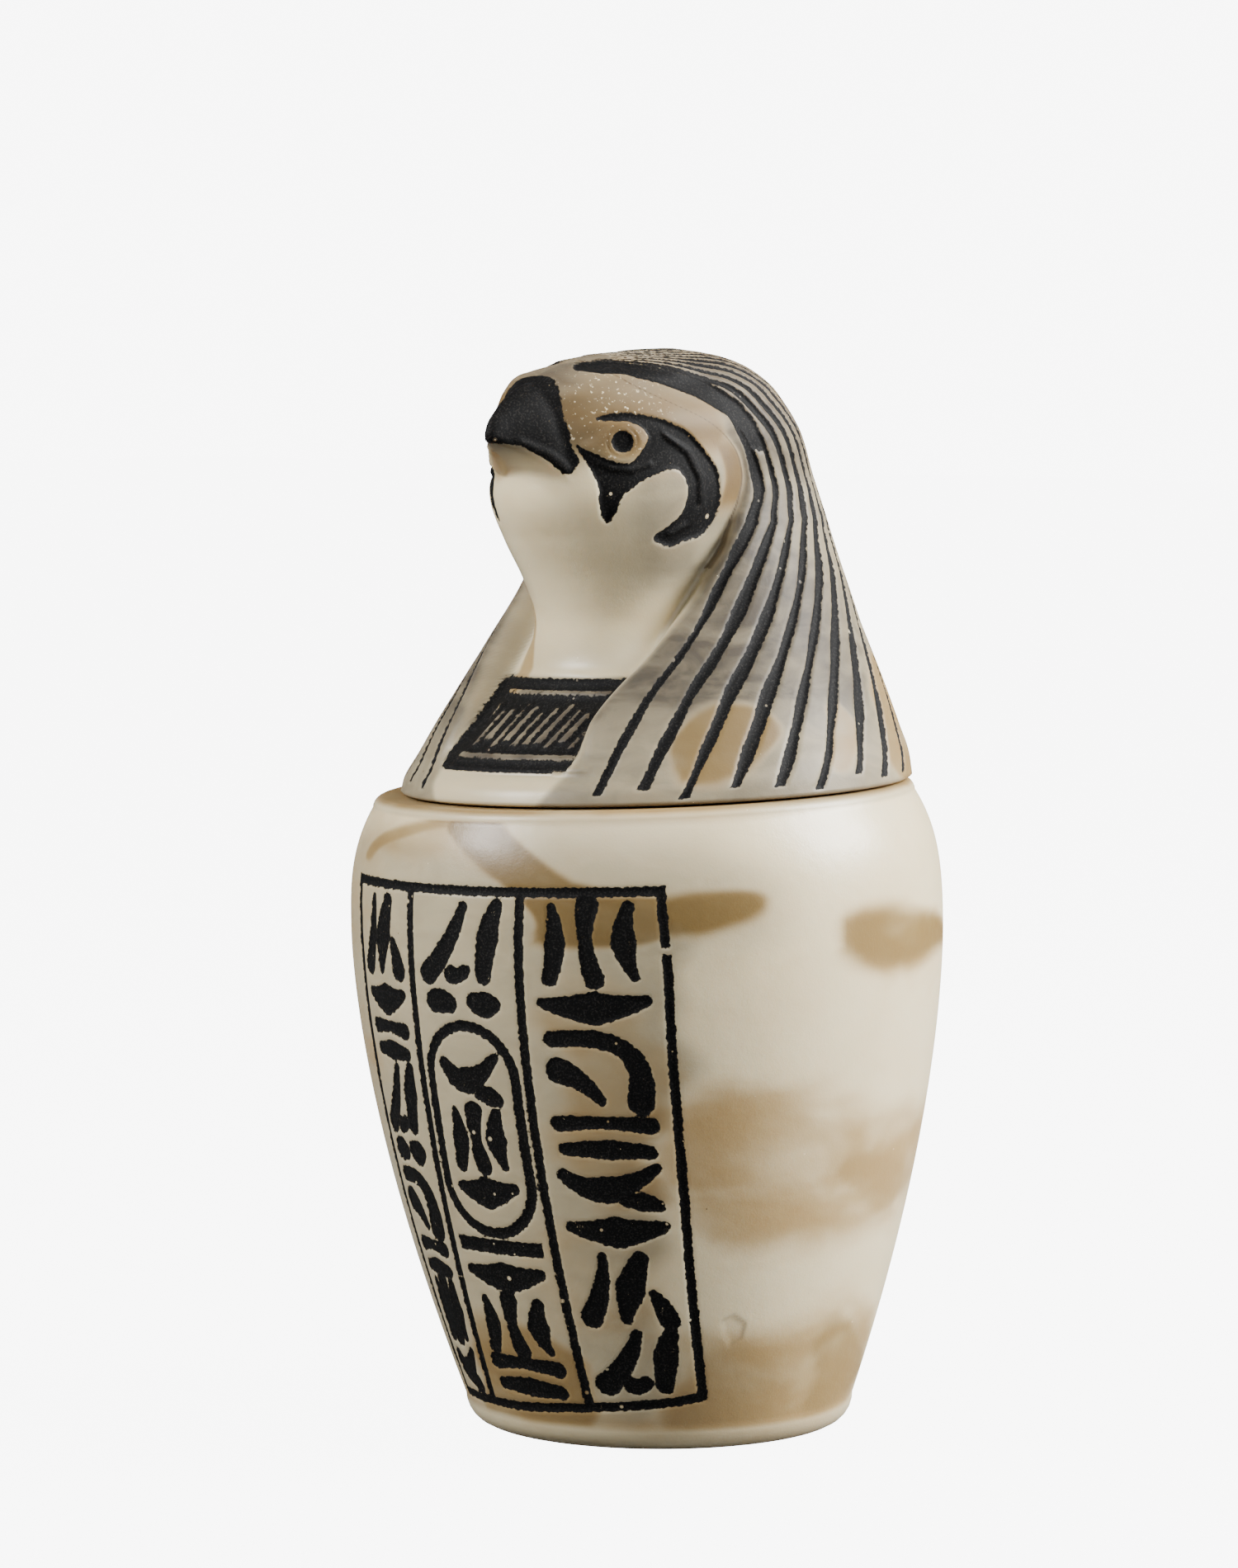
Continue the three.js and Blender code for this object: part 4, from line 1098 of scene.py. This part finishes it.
def filledResin(finish):
    # polyester resin filled with marble powder, cast and wiped with matte black paint:
    # milky depth with tan clouds, a satin skin with fine rubbing marks, and small air bubbles
    material = bpy.data.materials.new("castMarbleResin")
    material.use_nodes = True
    tree = material.node_tree
    tree.nodes.clear()
    node = partial(addNode, tree)
    place = node("TexCoord", (), "Object")
    names = ("cloud", "gold", "smoke", "crack", "paintedGlint", "grimeAndShade", "ink")
    kept = {name: node("Attribute", (), "Fac", attribute_name=name) for name in names}
    colours = {name: hexColour(code) for name, code in finish["colours"].items()}
    noises = {}
    for name, (across, up, size, detail, roughness, distortion) in finish["noises"].items():
        stretched = node("Mapping", {"Vector": place, "Scale": (across, across, up)})
        noises[name] = node("TexNoise", {
            "Vector": stretched, "Scale": perMm(size), "Detail": detail, "Roughness": roughness,
            "Distortion": distortion}, "Fac")
    spans = finish["spans"]

    # the cast's colour, from the milky ground through clouds and smoke to soil with painted shade,
    # painted glints and specks
    wispy = node("MapRange", (noises["wisps"], *spans["wispy"]))
    shaken = node("Math", (kept["cloud"], wispy), operation="ADD")
    cloudShare = node("MapRange", (shaken, *spans["cloudShare"]), interpolation_type="SMOOTHSTEP")
    tone = {"Factor": kept["gold"], 6: colours["tan"], 7: colours["honey"]}
    smoked = kept["smoke"]
    for thinning in (node("MapRange", (noises["veins"], *spans["smokeWisps"])),
                     node("MapRange", (cloudShare, *spans["overClouds"]))):
        smoked = node("Math", (smoked, thinning), operation="MULTIPLY")
    # painted glints: bright spots near the eye's front, in the painted highlight colour
    bright = node("MapRange", (noises["paintedGlintSpots"], *spans["bright"]))
    paintedHighlight = node("Math", (bright, kept["paintedGlint"]), operation="MULTIPLY")
    cast = colours["cream"]
    for amount, over in (
            (noises["drift"], colours["milk"]),
            (cloudShare, node("Mix", tone, 2, data_type="RGBA")),
            (smoked, colours["smoke"]),
            (kept["grimeAndShade"], colours["soilAndShade"]),
            (node("MapRange", (kept["crack"], *spans["crackLine"])), colours["grimeAndShade"]),
            (paintedHighlight, colours["paintedHighlight"]),
            (dots(node, place, *finish["paintedGlintSpecks"]), colours["paintedHighlight"]),
            (dots(node, place, *finish["dirtSpecks"]), colours["grimeAndShade"])):
        cast = node("Mix", {"Factor": amount, 6: cast, 7: over}, 2, data_type="RGBA")

    # the paint, with a ragged edge, popped bubbles and worn places
    wobbled = node("Math", (noises["ragged"], finish["raggedReach"], kept["ink"]),
                   operation="MULTIPLY_ADD")
    painted = node("MapRange", (wobbled, *spans["inked"]))
    popped = dots(node, place, *finish["bubbles"])
    for missed in (node("Math", (1, popped), operation="SUBTRACT"),
                   node("MapRange", (noises["wear"], *spans["unworn"]))):
        painted = node("Math", (painted, missed), operation="MULTIPLY")
    dusty = node("MapRange", (noises["grain"], *spans["dusty"]))
    paint = node("Mix", {"Factor": dusty, 6: colours["paint"], 7: colours["paintDust"]}, 2,
                 data_type="RGBA")
    colour = node("Mix", {"Factor": painted, 6: cast, 7: paint}, 2, data_type="RGBA")

    # the skin: rubbed where it is milky, duller where it is smoky, matt where it is painted
    rubbed = node("MapRange", (noises["wisps"], 0, 1, *finish["roughness"]))
    dulled = node("Math", (kept["smoke"], finish["smokeRoughness"], rubbed),
                  operation="MULTIPLY_ADD")
    roughness = node("Mix", {"Factor": painted, 2: dulled, 3: finish["paintRoughness"]})
    handled = node("Mix", {"Factor": kept["smoke"], 2: finish["gloss"], 3: finish["smokeGloss"]})
    gloss = node("Mix", {"Factor": painted, 2: handled, 3: finish["paintGloss"]})
    bumped = {}
    for name, (strength, distance) in finish["bumps"].items():
        bumped = {"Normal": node("Bump", {
            "Height": noises[name], "Strength": strength, "Distance": distance, **bumped})}
    surface = node("BsdfPrincipled", {
        "Specular IOR Level": gloss, "Base Color": colour, "Roughness": roughness, **bumped,
        "IOR": finish["ior"], "Subsurface Weight": finish["scatter"],
        "Subsurface Radius": finish["scatterRadius"], "Subsurface Scale": finish["scatterReach"]})
    node("OutputMaterial", {"Surface": surface})
    return material


resin = filledResin(castResin)
for piece in (jarPiece, lidPiece):
    piece.data.materials.append(resin)
print("materials made")


# Floor, lights and surroundings

studio = {
    "floor": "#5E5E5E",
    "floorGlow": 8.8,   # the paper as the photo's white ground, for the eye alone
    "floorHalf": 3000,   # mm
    "floorRoughness": 0.8,
    "lightsAim": 70,     # mm up
    "surround": "#F4F4F4",
    "surroundStrength": 0.07,
    "backgroundStrength": 9.0,
    "lights": [
        # azimuth and height in degrees as the camera sees them, distance and size in mm, watts
        ("rightBox", 87, 31, 700, 380, 22),
        ("leftBox", -73, 34, 700, 220, 8.5),
        ("frontBox", -8, 42, 800, 420, 2.2),
    ],
}


def addLight(name, azimuth, height, distance, size, watts):
    turn = math.radians(photoView["azimuth"] + azimuth)
    up = math.radians(height)
    way = Vector((math.sin(turn) * math.cos(up), -math.cos(turn) * math.cos(up), math.sin(up)))
    data = bpy.data.lights.new(name, "AREA")
    data.energy = watts
    data.size = size * mm
    light = addObject(name, data)
    light.location = (way * distance + Vector((0, 0, studio["lightsAim"]))) * mm
    light.rotation_euler = (-way).to_track_quat("-Z", "Y").to_euler()


def makeStudio(setup):
    mesh = bpy.data.meshes.new("floor")
    half = setup["floorHalf"] * mm
    corners = [(-half, -half, 0), (half, -half, 0), (half, half, 0), (-half, half, 0)]
    mesh.from_pydata(corners, [], [(0, 1, 2, 3)])
    floor = addObject("floor", mesh)
    paper = bpy.data.materials.new("paleStudioPaper")   # matt background paper
    paper.use_nodes = True
    shader = paper.node_tree.nodes["Principled BSDF"]
    shader.inputs["Base Color"].default_value = hexColour(setup["floor"])
    shader.inputs["Roughness"].default_value = setup["floorRoughness"]
    shader.inputs["Emission Color"].default_value = hexColour(setup["surround"])
    seen = addNode(paper.node_tree, "LightPath", (), "Is Camera Ray")
    glow = addNode(paper.node_tree, "Math", (seen, setup["floorGlow"]), operation="MULTIPLY")
    paper.node_tree.links.new(glow, shader.inputs["Emission Strength"])
    mesh.materials.append(paper)
    world = bpy.data.worlds.new("studio")
    bpy.context.scene.world = world
    world.use_nodes = True
    tree = world.node_tree
    seen = addNode(tree, "LightPath", (), "Is Camera Ray")
    strength = addNode(tree, "Mix", {"Factor": seen, 2: setup["surroundStrength"],
                                     3: setup["backgroundStrength"]})
    background = tree.nodes["Background"]
    background.inputs[0].default_value = hexColour(setup["surround"])
    tree.links.new(strength, background.inputs[1])
    for light in setup["lights"]:
        addLight(*light)


makeStudio(studio)
print("studio made")
